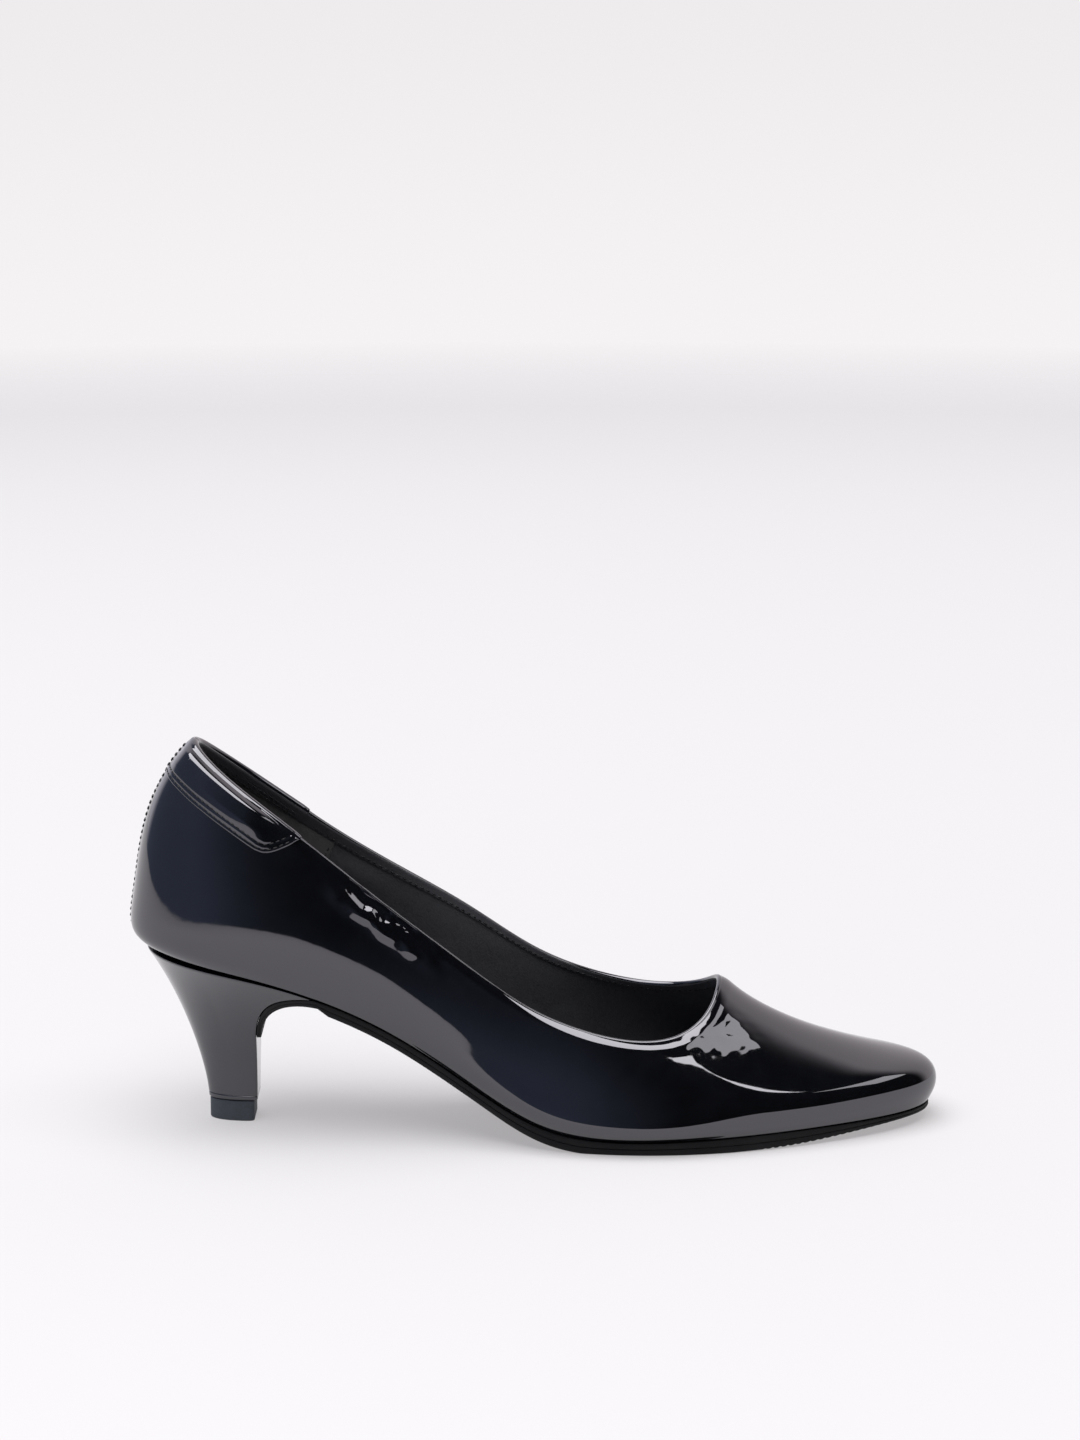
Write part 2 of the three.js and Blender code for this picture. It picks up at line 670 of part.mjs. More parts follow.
// The top piece, the heel's wearing tip, has the tip's outline a little smaller, and a pin up into the tube.
const TOP_PIECE = { high: TIP.z - 0.3, inset: 0.35, breastInset: 1 };
const tipOutline = [];
for (let degrees = -110; degrees <= 110; degrees += 10) {
  const angle = THREE.MathUtils.degToRad(degrees);
  const x = TIP.centre - (TIP.length - TOP_PIECE.inset) * Math.cos(angle);
  const y = -(TIP.halfWidth - TOP_PIECE.inset) * Math.sin(angle);
  if (x < TIP.breast - TOP_PIECE.breastInset) tipOutline.push(new THREE.Vector2(x, y));
}
const frontY = Math.abs(tipOutline[0].y) - 0.1;
tipOutline.unshift(new THREE.Vector2(TIP.breast - TOP_PIECE.breastInset, frontY));
tipOutline.push(new THREE.Vector2(TIP.breast - TOP_PIECE.breastInset, -frontY));
const topPieceBlank = new THREE.ExtrudeGeometry(new THREE.Shape(tipOutline), {
  depth: TOP_PIECE.high,
  bevelEnabled: false,
});
const pinHoleRadius = PIN.radius + 0.15;
const pinHole = turned([[0, PIN.low - 0.2], [pinHoleRadius, PIN.low - 0.2], [pinHoleRadius, 12], [0, 12]])
  .translate(TUBE.x, 0, 0);
add("top_piece", cutAway(topPieceBlank, [pinHole]), materials.rubber);
add(
  "top_piece_pin",
  turned([
    [0, PIN.low],
    [PIN.radius, PIN.low],
    [PIN.radius, PIN.high - 1],
    [PIN.radius - 0.5, PIN.high],
    [0, PIN.high],
  ])
    .translate(TUBE.x, 0, 0),
  materials.steel,
);

// One long screw and four nails hold the heel from inside the shoe.
const screwProfile = [
  [0, -SCREW.length],
  [SCREW.radius, -SCREW.length + 3],
  [SCREW.radius, 0.12],
  [SCREW.headRadius, 0.12],
  [SCREW.headRadius - 0.6, SCREW.headThick - 0.3],
  [0, SCREW.headThick - 0.3],
];
add("heel_screw", drive(turned(screwProfile), SCREW.x, 0, seatPitch), materials.steel);
const nailProfile = [
  [0, -NAIL.length],
  [NAIL.radius, -NAIL.length + 2.5],
  [NAIL.radius, 0.12],
  [NAIL.headRadius, 0.12],
  [NAIL.headRadius, NAIL.headThick],
  [0, NAIL.headThick],
];
NAILS.forEach(([x, y], i) => {
  add(`heel_nail_${i + 1}`, drive(turned(nailProfile, 14), x, y, seatPitch), materials.steel);
});

// ---------------------------------------------------------------- outsole

const WELT = 0.1; // how far the outsole stands out from the feather edge
const SOLE_GAP = 0.25;
const soleShape = outline(() => -WELT);
const soleThick = (x) => 3.3 + 1.3 * smooth(x, -20, 10) - 2.8 * smooth(x, 70, 118);

// Where the heel's side passes through (x, z): its y, on the outer (-1) or the inner (1) side of the foot.
function heelSideY(x, z, side) {
  const sideAt = (spoke) => {
    const u = -side * spoke;
    const seat = onBottom(THREE.MathUtils.euclideanModulo(u, SPOKES), SEAT_INSET, 0).z;
    return heelPoint(u, Math.min((z - TIP.z) / (seat - TIP.z), 1));
  };
  let [back, front] = [0.5, SEAT_SPOKES];
  for (let i = 0; i < 30; i += 1) {
    const middle = (back + front) / 2;
    if (sideAt(middle).x < x) back = middle;
    else front = middle;
  }
  return sideAt(back).y;
}

const soleRung = (x) => {
  const [outerY, innerY] = soleShape.at(x);
  const top = bottomHeight(x) - SOLE_GAP;
  const slope = (bottomHeight(x + 1) - bottomHeight(x - 1)) / 2;
  const bottom = Math.max(0, top - soleThick(x) * Math.hypot(1, slope));
  return [
    new THREE.Vector3(x, outerY, bottom),
    new THREE.Vector3(x, innerY, bottom),
    new THREE.Vector3(x, innerY, top),
    new THREE.Vector3(x, outerY, top),
  ];
};
const flapRung = (t) => {
  const inner = breastLine.getPoint(t);
  const outer = flapLine.getPoint(t);
  const [outerY, innerY] = [-1, 1].map((side) => heelSideY(inner.x, inner.y, side));
  return [
    new THREE.Vector3(outer.x, outerY, outer.y),
    new THREE.Vector3(outer.x, innerY, outer.y),
    new THREE.Vector3(inner.x, innerY, inner.y),
    new THREE.Vector3(inner.x, outerY, inner.y),
  ];
};
add(
  "outsole",
  sweep([
    ...rungs(-62, soleShape.toe - 0.1, { roundFrom: false }).reverse().map(soleRung),
    ...series(0.06, 1, 14).map(flapRung),
  ]),
  materials.outsole,
);

// ---------------------------------------------------------------- the shoe stands centred on its origin

const box = new THREE.Box3().setFromObject(shoe);
const centre = box.getCenter(new THREE.Vector3());
shoe.position.set(-centre.x, -centre.y, -box.min.z);

export default shoe;
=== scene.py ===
"""A high heel pump in black patent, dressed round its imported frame.

Every length is in millimetres on the last and becomes metres when a mesh is made. X runs from the heel to
the toe, Y to the inner side of the foot, and Z up from the ground.
"""

import logging
import math
from collections.abc import Callable, Sequence
from dataclasses import dataclass, field
from enum import Enum
from functools import partial

import bmesh
import bpy
import numpy as np
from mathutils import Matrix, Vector


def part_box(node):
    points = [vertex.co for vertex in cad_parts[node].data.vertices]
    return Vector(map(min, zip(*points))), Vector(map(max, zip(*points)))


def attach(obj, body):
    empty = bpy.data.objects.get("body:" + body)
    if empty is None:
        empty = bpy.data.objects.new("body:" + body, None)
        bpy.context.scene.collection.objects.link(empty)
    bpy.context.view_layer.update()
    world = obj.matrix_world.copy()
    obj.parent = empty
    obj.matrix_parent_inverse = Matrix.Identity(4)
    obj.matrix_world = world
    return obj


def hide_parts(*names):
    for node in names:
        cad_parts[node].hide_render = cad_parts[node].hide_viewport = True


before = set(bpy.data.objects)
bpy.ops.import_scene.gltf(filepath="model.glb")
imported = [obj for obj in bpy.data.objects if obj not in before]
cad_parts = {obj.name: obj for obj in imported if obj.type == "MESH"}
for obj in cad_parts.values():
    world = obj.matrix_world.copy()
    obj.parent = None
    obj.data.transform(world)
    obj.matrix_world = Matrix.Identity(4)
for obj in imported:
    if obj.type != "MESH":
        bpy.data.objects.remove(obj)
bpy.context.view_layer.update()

LOG = logging.getLogger("pump")
MM = 0.001
Colour = tuple[float, float, float]


# ---------------------------------------------------------------- small sums


def smooth(value: np.ndarray | float, start: float, end: float) -> np.ndarray:
    """Eases from 0 at start to 1 at end.

    Args:
        value: Where to read it.
        start: The value that gives 0.
        end: The value that gives 1; it may be below start.

    Returns:
        The eased share, from 0 to 1.
    """
    share = np.clip((np.asarray(value, float) - start) / (end - start), 0.0, 1.0)
    return share * share * (3.0 - 2.0 * share)


def unit(vectors: np.ndarray) -> np.ndarray:
    """Scales vectors along the last axis to length one."""
    return vectors / np.maximum(np.linalg.norm(vectors, axis=-1, keepdims=True), 1e-9)


def spline_weights(share: np.ndarray) -> np.ndarray:
    """Gives the four weights of a uniform cubic B-spline.

    Args:
        share: How far along its span each place is, from 0 to 1.

    Returns:
        The weights, stacked on a new first axis.
    """
    rest = 1.0 - share
    return np.stack(
        [
            rest**3 / 6.0,
            (3.0 * share**3 - 6.0 * share**2 + 4.0) / 6.0,
            (3.0 * rest**3 - 6.0 * rest**2 + 4.0) / 6.0,
            share**3 / 6.0,
        ]
    )


def bezier(corners: Sequence[Sequence[float]], share: np.ndarray) -> np.ndarray:
    """Gives points of a cubic curve in a plane.

    Args:
        corners: The four control points.
        share: Where along the curve, from 0 to 1.

    Returns:
        One point for each share.
    """
    a, b, c, d = (np.asarray(corner, float) for corner in corners)
    t = np.asarray(share, float)[:, None]
    return (1 - t) ** 3 * a + 3 * t * (1 - t) ** 2 * b + 3 * t * t * (1 - t) * c + t**3 * d


def bell(value: np.ndarray, middle: float, width: float) -> np.ndarray:
    """Gives a bell of height one round the middle, which falls to 1/e at that width."""
    return np.exp(-(((value - middle) / width) ** 2))


def spread(places: np.ndarray, like: np.ndarray) -> np.ndarray:
    """Repeats one value a row over the rows of a table."""
    return np.broadcast_to(places[:, None], like.shape)


def bent(start: np.ndarray, corner: np.ndarray, end: np.ndarray, share: np.ndarray) -> np.ndarray:
    """Rounds a corner: a quadratic curve from start to end that leans to the corner."""
    return (1 - share) ** 2 * start + 2 * share * (1 - share) * corner + share**2 * end


def circled(first: np.ndarray, second: np.ndarray, turn: np.ndarray) -> np.ndarray:
    """Gives directions round a circle, for each pair of directions across it and each turn."""
    return first[:, None] * np.cos(turn)[None, :, None] + second[:, None] * np.sin(turn)[None, :, None]


# ---------------------------------------------------------------- the last


@dataclass
class Outline:
    """The edge of a flat part of the bottom, read as the y of its two sides at any x."""

    outer: np.ndarray
    inner: np.ndarray

    @property
    def heel(self) -> float:
        """Where both sides begin, at the heel."""
        return float(max(self.outer[0, 0], self.inner[0, 0]))

    @property
    def toe(self) -> float:
        """Where both sides end, at the toe."""
        return float(min(self.outer[-1, 0], self.inner[-1, 0]))

    def sides(self, x: np.ndarray) -> tuple[np.ndarray, ...]:
        """Gives the y of the outer and the inner side at x."""
        return tuple(np.interp(x, side[:, 0], side[:, 1]) for side in (self.outer, self.inner))


@dataclass
class Last:
    """The form the shoe is made on, as one smooth surface.

    u counts spokes round the shoe, from the back seam by the outer side to the toe and back by the inner
    side. v climbs each spoke, from the feather edge (0) to the topline (6).
    """

    bottom_start: float = -140.0
    bottom_step: float = 20.0
    bottom_heights: tuple[float, ...] = (
        60.5, 58.2, 54.6, 50.0, 42.6, 32.5, 19.0, 6.2, 4.0, 4.4, 4.9, 5.2, 5.4, 5.4, 5.4,
    )
    # Edge x, outer y, inner y; topline x, outer y, inner y; outer and inner height; heel and toe shares.
    stations: tuple[tuple[float, ...], ...] = (
        (-119.3, 0, 0, -103.6, 0, 0, 120, 120, 1, 0),
        (-117, -15, 15, -102.3, -8, 8, 118.6, 118.4, 0.9, 0),
        (-103.5, -26.5, 26, -91, -17, 17, 109, 108.4, 0.5, 0),
        (-79, -28.3, 26.6, -68, -21.5, 20, 92.2, 90.9, 0.15, 0),
        (-48, -25, 20.5, -44, -23.2, 22, 72.4, 74.8, 0, 0),
        (-17, -28.8, 18.5, -19, -25.3, 24.3, 54.6, 61.1, 0, 0),
        (10, -38, 26, 5, -30, 27.5, 41, 45.2, 0, 0),
        (36, -41, 37.5, 26, -32, 29.5, 34, 37.3, 0, 0),
        (63, -37, 39, 42, -27.5, 26.5, 33, 36, 0, 0.3),
        (92, -26, 31, 52, -18.5, 18.5, 37.6, 39.5, 0, 0.8),
        (116, -13, 18.5, 56, -8.5, 9, 43.6, 44, 0, 1),
        (124.3, 2.5, 2.5, 57.2, 0.5, 0.5, 46.2, 46.2, 0, 1),
    )
    # How a wall climbs, for the side, the heel and the toe: shares inwards, shares up, and a bulge outwards.
    walls: tuple[tuple[tuple[float, ...], ...], ...] = (
        (
            (0, 0, 0.04, 0.18, 0.42, 0.74, 1),
            (0, 0.09, 0.27, 0.48, 0.68, 0.86, 1),
            (0, 1.8, 2.6, 2.4, 1.4, 0.5, 0),
        ),
        (
            (0, 0, 0, 0.06, 0.24, 0.6, 1),
            (0, 0.035, 0.21, 0.48, 0.7, 0.88, 1),
            (0, 6.2, 3.9, 2.6, 1.2, 0.2, 0),
        ),
        (
            (0, -0.05, -0.02, 0.22, 0.6, 0.87, 1),
            (0, 0.13, 0.33, 0.385, 0.57, 0.8, 1),
            (0, 0, 0, 0, 0, 0, 0),
        ),
    )
    spokes: int = 22
    toe: int = 11
    rows: int = 6
    seam_spoke: float = 15.0
    top_piece_x: float = -93.25
    nudge: float = 0.01
    net: np.ndarray = field(init=False)
    shift: np.ndarray = field(init=False)

    def __post_init__(self) -> None:
        """Lays out the control net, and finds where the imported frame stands."""
        low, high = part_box("top_piece")
        middle = (np.array(low) + np.array(high)) / 2.0 / MM
        self.shift = np.array([middle[0] - self.top_piece_x, middle[1], 0.0])
        order = [i if i <= self.toe else self.spokes - i for i in range(self.spokes)]
        side = [0 if i <= self.toe else 1 for i in range(self.spokes)]
        rows = [self.stations[i] for i in order]
        edge = np.array([[row[0], row[1 + s]] for row, s in zip(rows, side)], float)
        top = np.array([[row[3], row[4 + s]] for row, s in zip(rows, side)], float)
        rise = np.array([row[6 + s] for row, s in zip(rows, side)]) - self.bottom(top[:, 0])
        heel = np.array([row[8] for row in rows], float)
        toe = np.array([row[9] for row in rows], float)
        before, after = np.roll(edge, 1, axis=0), np.roll(edge, -1, axis=0)
        outwards = unit(np.stack([after[:, 1] - before[:, 1], before[:, 0] - after[:, 0]], axis=1))
        mix = np.stack([1 - heel - toe, heel, toe], axis=1)
        shares = np.einsum("sw,wqk->sqk", mix, np.array(self.walls, float))
        inwards, up, out = shares[:, 0], shares[:, 1], shares[:, 2]
        flat = edge[:, None] + (top - edge)[:, None] * inwards[..., None]
        flat = flat + outwards[:, None] * out[..., None]
        net = np.concatenate([flat, (rise[:, None] * up)[..., None]], axis=2)
        first = 2 * net[:, :1] - net[:, 1:2]
        last = 2 * net[:, -1:] - net[:, -2:-1]
        self.net = np.concatenate([first, net, last], axis=1)

    def bottom(self, x: np.ndarray | float) -> np.ndarray:
        """Gives the height of the feather edge, and of the flat bottom, at x.

        Args:
            x: Where along the shoe.

        Returns:
            The heights.
        """
        place = (np.asarray(x, float) - self.bottom_start) / self.bottom_step
        span = np.floor(place).astype(int)
        weights = spline_weights(place - span)
        heights = np.array(self.bottom_heights)
        highest = len(heights) - 1
        return sum(weights[k] * heights[np.clip(span - 1 + k, 0, highest)] for k in range(4))

    def point(self, u: np.ndarray | float, v: np.ndarray | float) -> np.ndarray:
        """Gives points of the outside of the upper.

        Args:
            u: Places round the shoe, in spokes.
            v: Places up the wall.

        Returns:
            One point for each place.
        """
        u, v = np.broadcast_arrays(np.asarray(u, float), np.asarray(v, float))
        span_u = np.floor(u).astype(int)
        span_v = np.clip(np.floor(v), 0, self.rows - 1).astype(int)
        weights_u, weights_v = spline_weights(u - span_u), spline_weights(v - span_v)
        total = np.zeros(u.shape + (3,))
        for a in range(4):
            for b in range(4):
                share = (weights_u[a] * weights_v[b])[..., None]
                total += share * self.net[(span_u - 1 + a) % self.spokes, span_v + b]
        total[..., 2] += self.bottom(total[..., 0])
        return total

    def along(self, u: np.ndarray, v: np.ndarray) -> np.ndarray:
        """Gives the step along the shoe for one unit of u."""
        return (self.point(u + self.nudge, v) - self.point(u - self.nudge, v)) / (2 * self.nudge)

    def climb(self, u: np.ndarray, v: np.ndarray) -> np.ndarray:
        """Gives the step up the wall for one unit of v."""
        low, high = np.maximum(v - self.nudge, 0), np.minimum(v + self.nudge, self.rows)
        return (self.point(u, high) - self.point(u, low)) / (high - low)[..., None]

    def normal(self, u: np.ndarray, v: np.ndarray) -> np.ndarray:
        """Gives the outward normals."""
        u, v = np.broadcast_arrays(np.asarray(u, float), np.asarray(v, float))
        return unit(np.cross(self.along(u, v), self.climb(u, v)))

    def under(self, u: np.ndarray, v: np.ndarray, depth: np.ndarray | float) -> np.ndarray:
        """Gives points that deep under the outside of the upper."""
        u, v = np.broadcast_arrays(np.asarray(u, float), np.asarray(v, float))
        return self.point(u, v) - self.normal(u, v) * np.broadcast_to(depth, u.shape)[..., None]

    def on_bottom(self, u: np.ndarray, inset: np.ndarray | float, lift: np.ndarray | float) -> np.ndarray:
        """Gives points of the bottom.

        Args:
            u: Places round the feather edge.
            inset: How far inwards from the edge.
            lift: How far above the bottom.

        Returns:
            One point for each place.
        """
        u = np.asarray(u, float)
        along = self.along(u, np.zeros_like(u))
        inwards = unit(np.stack([-along[..., 1], along[..., 0]], axis=-1))
        points = self.point(u, 0.0)
        points[..., :2] += inwards * np.broadcast_to(inset, u.shape)[..., None]
        points[..., 2] = self.bottom(points[..., 0]) + lift
        return points

    def outline(self, inset: Callable[[np.ndarray], np.ndarray]) -> Outline:
        """Gives the outline of the bottom, moved inwards.

        Args:
            inset: Gives how far inwards at each u.

        Returns:
            The outline, as two sides sorted from heel to toe.
        """
        sides = []
        for start, end in ((0.0, float(self.toe)), (float(self.toe), float(self.spokes))):
            u = np.linspace(start, end, 2400)
            points = self.on_bottom(u, inset(u), 0.0)[:, :2]
            sides.append(points[np.argsort(points[:, 0])])
        return Outline(sides[0], sides[1])

    def from_seam(self, u: np.ndarray) -> np.ndarray:
        """Gives the distance from the back seam, in spokes."""
        around = np.mod(u, self.spokes)
        return np.minimum(around, self.spokes - around)

    def from_toe(self, u: np.ndarray) -> np.ndarray:
        """Gives the distance from the toe, in spokes."""
        return np.abs(np.mod(u, self.spokes) - self.toe)


@dataclass(frozen=True)
class Layers:
    """How deep each layer of the upper lies under its outside."""

    upper: float = 1.0
    roll: float = 1.3
    strip: float = 0.35
    lining: float = 0.5
    lining_under: float = 1.7
    counter: float = 2.0
    puff: float = 0.9
    insole_gap: float = 0.9
    sock: float = 0.8

    def bulk(self, last: Last, u: np.ndarray, v: np.ndarray) -> tuple[np.ndarray, np.ndarray]:
        """Gives how much of the counter and of the toe puff is there, from 0 to 1.

        Args:
            last: The last.
            u: Places round the shoe, in spokes.
            v: Places up the wall.

        Returns:
            The share of the counter and that of the puff.
        """
        counter = smooth(last.from_seam(u), 4.6, 3.0) * smooth(v, 5.4, 4.2)
        puff = smooth(last.from_toe(u), 3.6, 2.2) * smooth(v, 4.2, 3.2)
        return counter, puff

    def lining_depth(self, last: Last, u: np.ndarray, v: np.ndarray) -> np.ndarray:
        """Gives the depth of the lining's hidden face."""
        counter, puff = self.bulk(last, u, v)
        return self.lining_under + self.counter * counter + self.puff * puff

    def insole_inset(self, last: Last, u: np.ndarray) -> np.ndarray:
        """Gives how far the insole stands in from the feather edge."""
        return self.lining_depth(last, u, np.zeros_like(u)) + self.insole_gap


# ---------------------------------------------------------------- meshes


@dataclass
class Skin:
    """A closed mesh as points in millimetres and faces."""

    points: np.ndarray
    faces: list[tuple[int, ...]]
    backs: set[int] = field(default_factory=set)

    def turned_out(self) -> "Skin":
        """Turns every face outwards, if they point inwards.

        Returns:
            The skin itself.
        """
        corners = self.points[np.array(self.faces)] - self.points[0]
        halves = (np.cross(corners[:, 1], corners[:, 2]), np.cross(corners[:, 2], corners[:, 3]))
        if sum(float(np.sum(corners[:, 0] * half)) for half in halves) < 0:
            self.faces = [tuple(reversed(face)) for face in self.faces]
        return self

    @staticmethod
    def swept(sections: np.ndarray, ring: bool = False, back: tuple[int, int] = (0, 0)) -> "Skin":
        """Joins a row of closed sections into one closed mesh.

        Args:
            sections: Points, by section and by place round the section.
            ring: Whether the last section meets the first.
            back: The first place round the section of the part with the second finish, and the one after it.

        Returns:
            The closed skin; an open row is closed at each end by a ladder across the section.
        """
        count, size = sections.shape[:2]
        index = np.arange(count * size).reshape(count, size)
        ahead = np.roll(index, -1, axis=0)
        if not ring:
            here, ahead = index[:-1], index[1:]
        else:
            here = index
        quads = np.stack([here, ahead, np.roll(ahead, -1, axis=1), np.roll(here, -1, axis=1)], axis=2)
        faces = [tuple(int(i) for i in quad) for quad in quads.reshape(-1, 4)]
        backs = {i for i in range(len(faces)) if back[0] <= i % size < back[1]}
        if not ring:
            first, last = index[0], index[-1]
            for k in range(size // 2 - 1):
                pair = (k, k + 1, size - 2 - k, size - 1 - k)
                faces.append(tuple(int(first[i]) for i in pair))
                faces.append(tuple(int(last[i]) for i in reversed(pair)))
        return Skin(sections.reshape(-1, 3).copy(), faces, backs).turned_out()

    @staticmethod
    def joined(skins: Sequence["Skin"]) -> "Skin":
        """Puts several skins together as one.

        Args:
            skins: The skins.

        Returns:
            One skin with all their faces.
        """
        faces: list[tuple[int, ...]] = []
        start = 0
        for skin in skins:
            faces += [tuple(i + start for i in face) for face in skin.faces]
            start += len(skin.points)
        return Skin(np.concatenate([skin.points for skin in skins]), faces)


# ---------------------------------------------------------------- finishes


class Pattern(Enum):
    """What the surface of a material is made of, seen close."""

    GLOSS = "a poured, level film"
    GRAIN = "fine leather grain"
    NAP = "short brushed fibres"
    WEAVE = "threads over and under"
    FIBRES = "pressed fibres"
    CELLS = "open foam cells"
    BRUSHED = "fine lines one way"
    TWIST = "plies of a thread"
    SPECKLE = "moulded, finely pitted"


@dataclass(frozen=True)
class Finish:
    """A finish: its two colours, its two roughnesses and the pattern that moves between them."""

    name: str
    deep: Colour
    light: Colour
    rough: tuple[float, float]
    pattern: Pattern
    size: float
    relief: float
    metal: float = 0.0
    sheen: float = 0.0
    sheen_rough: float = 0.4
    coat: float = 0.0
    ior: float = 1.5
    specular: float = 0.5
    wear: float = 0.0
    tint: Colour = (1.0, 1.0, 1.0)

    def build(self) -> bpy.types.Material:
        """Builds the material once and gives it back each time it is asked for."""
        found = bpy.data.materials.get(self.name)
        return found if found else _Shader(self).material


class Nodes:
    """A tree of shader nodes, and the ways of adding to it that the scene uses."""

    def __init__(self, tree: bpy.types.NodeTree) -> None:
        """Works on a tree."""
        self.tree = tree

    def add(self, kind: str, inputs: dict | None = None, **settings: object) -> bpy.types.Node:
        """Adds a node.

        Args:
            kind: Blender's name for the node, after its first word.
            inputs: For each input, by name or number, a value or the socket that feeds it.
            **settings: Properties of the node.

        Returns:
            The node.
        """
        node = self.tree.nodes.new(f"ShaderNode{kind}")
        for key, value in settings.items():
            setattr(node, key, value)
        self.fill(node, inputs or {})
        return node

    def fill(self, node: bpy.types.Node, inputs: dict) -> None:
        """Sets the inputs of a node.

        Args:
            node: The node.
            inputs: For each input, by name or number, a value or the socket that feeds it.
        """
        for key, value in inputs.items():
            if isinstance(value, bpy.types.NodeSocket):
                self.tree.links.new(value, node.inputs[key])
            else:
                node.inputs[key].default_value = value

    def sum(self, kind: str, one: object, two: object) -> bpy.types.NodeSocket:
        """Does a sum of two values, each a socket or a number."""
        return self.add("Math", {0: one, 1: two}, operation=kind).outputs["Value"]

    def eased(
        self, value: bpy.types.NodeSocket, start: float, end: float, low: float = 0.0, high: float = 1.0
    ) -> bpy.types.NodeSocket:
        """Eases a value from low to high.

        Args:
            value: The value to map.
            start: The value that gives low.
            end: The value that gives high.
            low: The result at start.
            high: The result at end.

        Returns:
            The mapped value.
        """
        spans = {"From Min": start, "From Max": end, "To Min": low, "To Max": high}
        node = self.add("MapRange", {"Value": value, **spans}, interpolation_type="SMOOTHSTEP")
        return node.outputs["Result"]


class _Shader(Nodes):
    """Builds the nodes of one finish."""

    STAIN: float = 14.0
    RUBBED: float = 9.0
    WORN: float = 1.5
    WAVE_SCALE: float = 0.314

    def __init__(self, finish: Finish) -> None:
        """Makes the material of a finish.

        Args:
            finish: The finish.
        """
        self.finish = finish
        self.material = bpy.data.materials.new(finish.name)
        self.material.use_nodes = True
        super().__init__(self.material.node_tree)
        self.surface = self.tree.nodes["Principled BSDF"]
        self.place = self.add("TexCoord").outputs["Object"]
        height = self.height()
        self.colour(height)
        self.roughness(height)
        self.bump(height)
        self.even_sockets()

    def stretched(self, scale: tuple[float, float, float]) -> bpy.types.NodeSocket:
        """Gives the place on the piece, stretched along its axes."""
        return self.add("Mapping", {"Scale": scale, "Vector": self.place}).outputs["Vector"]

    def noise(
        self, size: float, detail: float = 3.0, place: bpy.types.NodeSocket | None = None
    ) -> bpy.types.NodeSocket:
        """Gives a noise.

        Args:
            size: The width of its features, in millimetres.
            detail: How many finer layers it has.
            place: Where it is read, or the plain place on the piece.

        Returns:
            The noise's value.
        """
        inputs = {"Scale": 1.0 / (size * MM), "Detail": detail, "Vector": place or self.place}
        return self.add("TexNoise", inputs).outputs["Fac"]

    def cells(self, size: float) -> bpy.types.NodeSocket:
        """Gives the distance to the middle of rounded cells of that width in millimetres."""
        inputs = {"Scale": 1.0 / (size * MM), "Vector": self.place}
        return self.add("TexVoronoi", inputs, feature="SMOOTH_F1").outputs["Distance"]

    def wave(self, size: float, direction: str, distortion: float = 0.0) -> bpy.types.NodeSocket:
        """Gives parallel ridges.

        Args:
            size: From one ridge to the next, in millimetres.
            direction: The axis across them.
            distortion: How uneven they are.

        Returns:
            The height of the ridges.
        """
        inputs = {
            "Scale": self.WAVE_SCALE / (size * MM),
            "Distortion": distortion,
            "Detail Scale": 2.0,
            "Vector": self.place,
        }
        return self.add("TexWave", inputs, bands_direction=direction).outputs["Fac"]

    def height(self) -> bpy.types.NodeSocket:
        """Gives the pattern of the finish, from low (0) to high (1).

        Returns:
            The height of the pattern.
        """
        size, pattern = self.finish.size, self.finish.pattern
        if pattern is Pattern.GLOSS:
            return self.noise(size, 2.0)
        if pattern is Pattern.GRAIN:
            return self.sum("ADD", self.cells(size), self.sum("MULTIPLY", self.noise(size * 4), 0.5))
        if pattern is Pattern.NAP:
            return self.sum("MULTIPLY", self.noise(size, 6.0), self.noise(size * 7, 2.0))
        if pattern is Pattern.WEAVE:
            return self.sum("MULTIPLY", self.wave(size, "X", 0.6), self.wave(size, "Z", 0.6))
        if pattern is Pattern.FIBRES:
            return self.noise(size, 6.0, self.stretched((0.25, 1.0, 1.0)))
        if pattern is Pattern.CELLS:
            return self.cells(size)
        if pattern is Pattern.BRUSHED:
            return self.noise(size, 4.0, self.stretched((0.05, 1.0, 1.0)))
        if pattern is Pattern.TWIST:
            return self.wave(size, "DIAGONAL", 1.0)
        return self.noise(size, 5.0)

    def colour(self, height: bpy.types.NodeSocket) -> None:
        """Colours the surface by its pattern, by slow stains, and lighter where an edge is worn.

        Args:
            height: The height of the pattern.
        """
        stain = self.sum("MULTIPLY", self.noise(self.STAIN, 4.0), 0.7)
        share = self.eased(self.sum("ADD", height, stain), 0.45, 1.15)
        colours = {"Factor": share, "A": (*self.finish.deep, 1.0), "B": (*self.finish.light, 1.0)}
        result = self.add("Mix", colours, data_type="RGBA")
        if self.finish.wear > 0:
            edge = self.add("NewGeometry").outputs["Pointiness"]
            high = self.eased(edge, 0.52, 0.6, 0.0, self.finish.wear)
            worn = self.sum("MULTIPLY", high, self.noise(self.WORN, 5.0))
            pale = (*(min(1.0, c * 3.0 + 0.05) for c in self.finish.light), 1.0)
            worn_colours = {"Factor": worn, "A": result.outputs["Result"], "B": pale}
            result = self.add("Mix", worn_colours, data_type="RGBA")
        self.tree.links.new(result.outputs["Result"], self.surface.inputs["Base Color"])

    def roughness(self, height: bpy.types.NodeSocket) -> None:
        """Moves the roughness with the pattern and with faint rubbed places."""
        rubbed = self.sum("MULTIPLY", self.sum("ADD", height, self.noise(self.RUBBED, 5.0)), 0.5)
        self.fill(self.surface, {"Roughness": self.eased(rubbed, 0.3, 0.7, *self.finish.rough)})

    def bump(self, height: bpy.types.NodeSocket) -> None:
        """Raises the pattern by the relief of the finish."""
        node = self.add("Bump", {"Strength": 1.0, "Distance": self.finish.relief * MM, "Height": height})
        self.fill(self.surface, {"Normal": node.outputs["Normal"]})

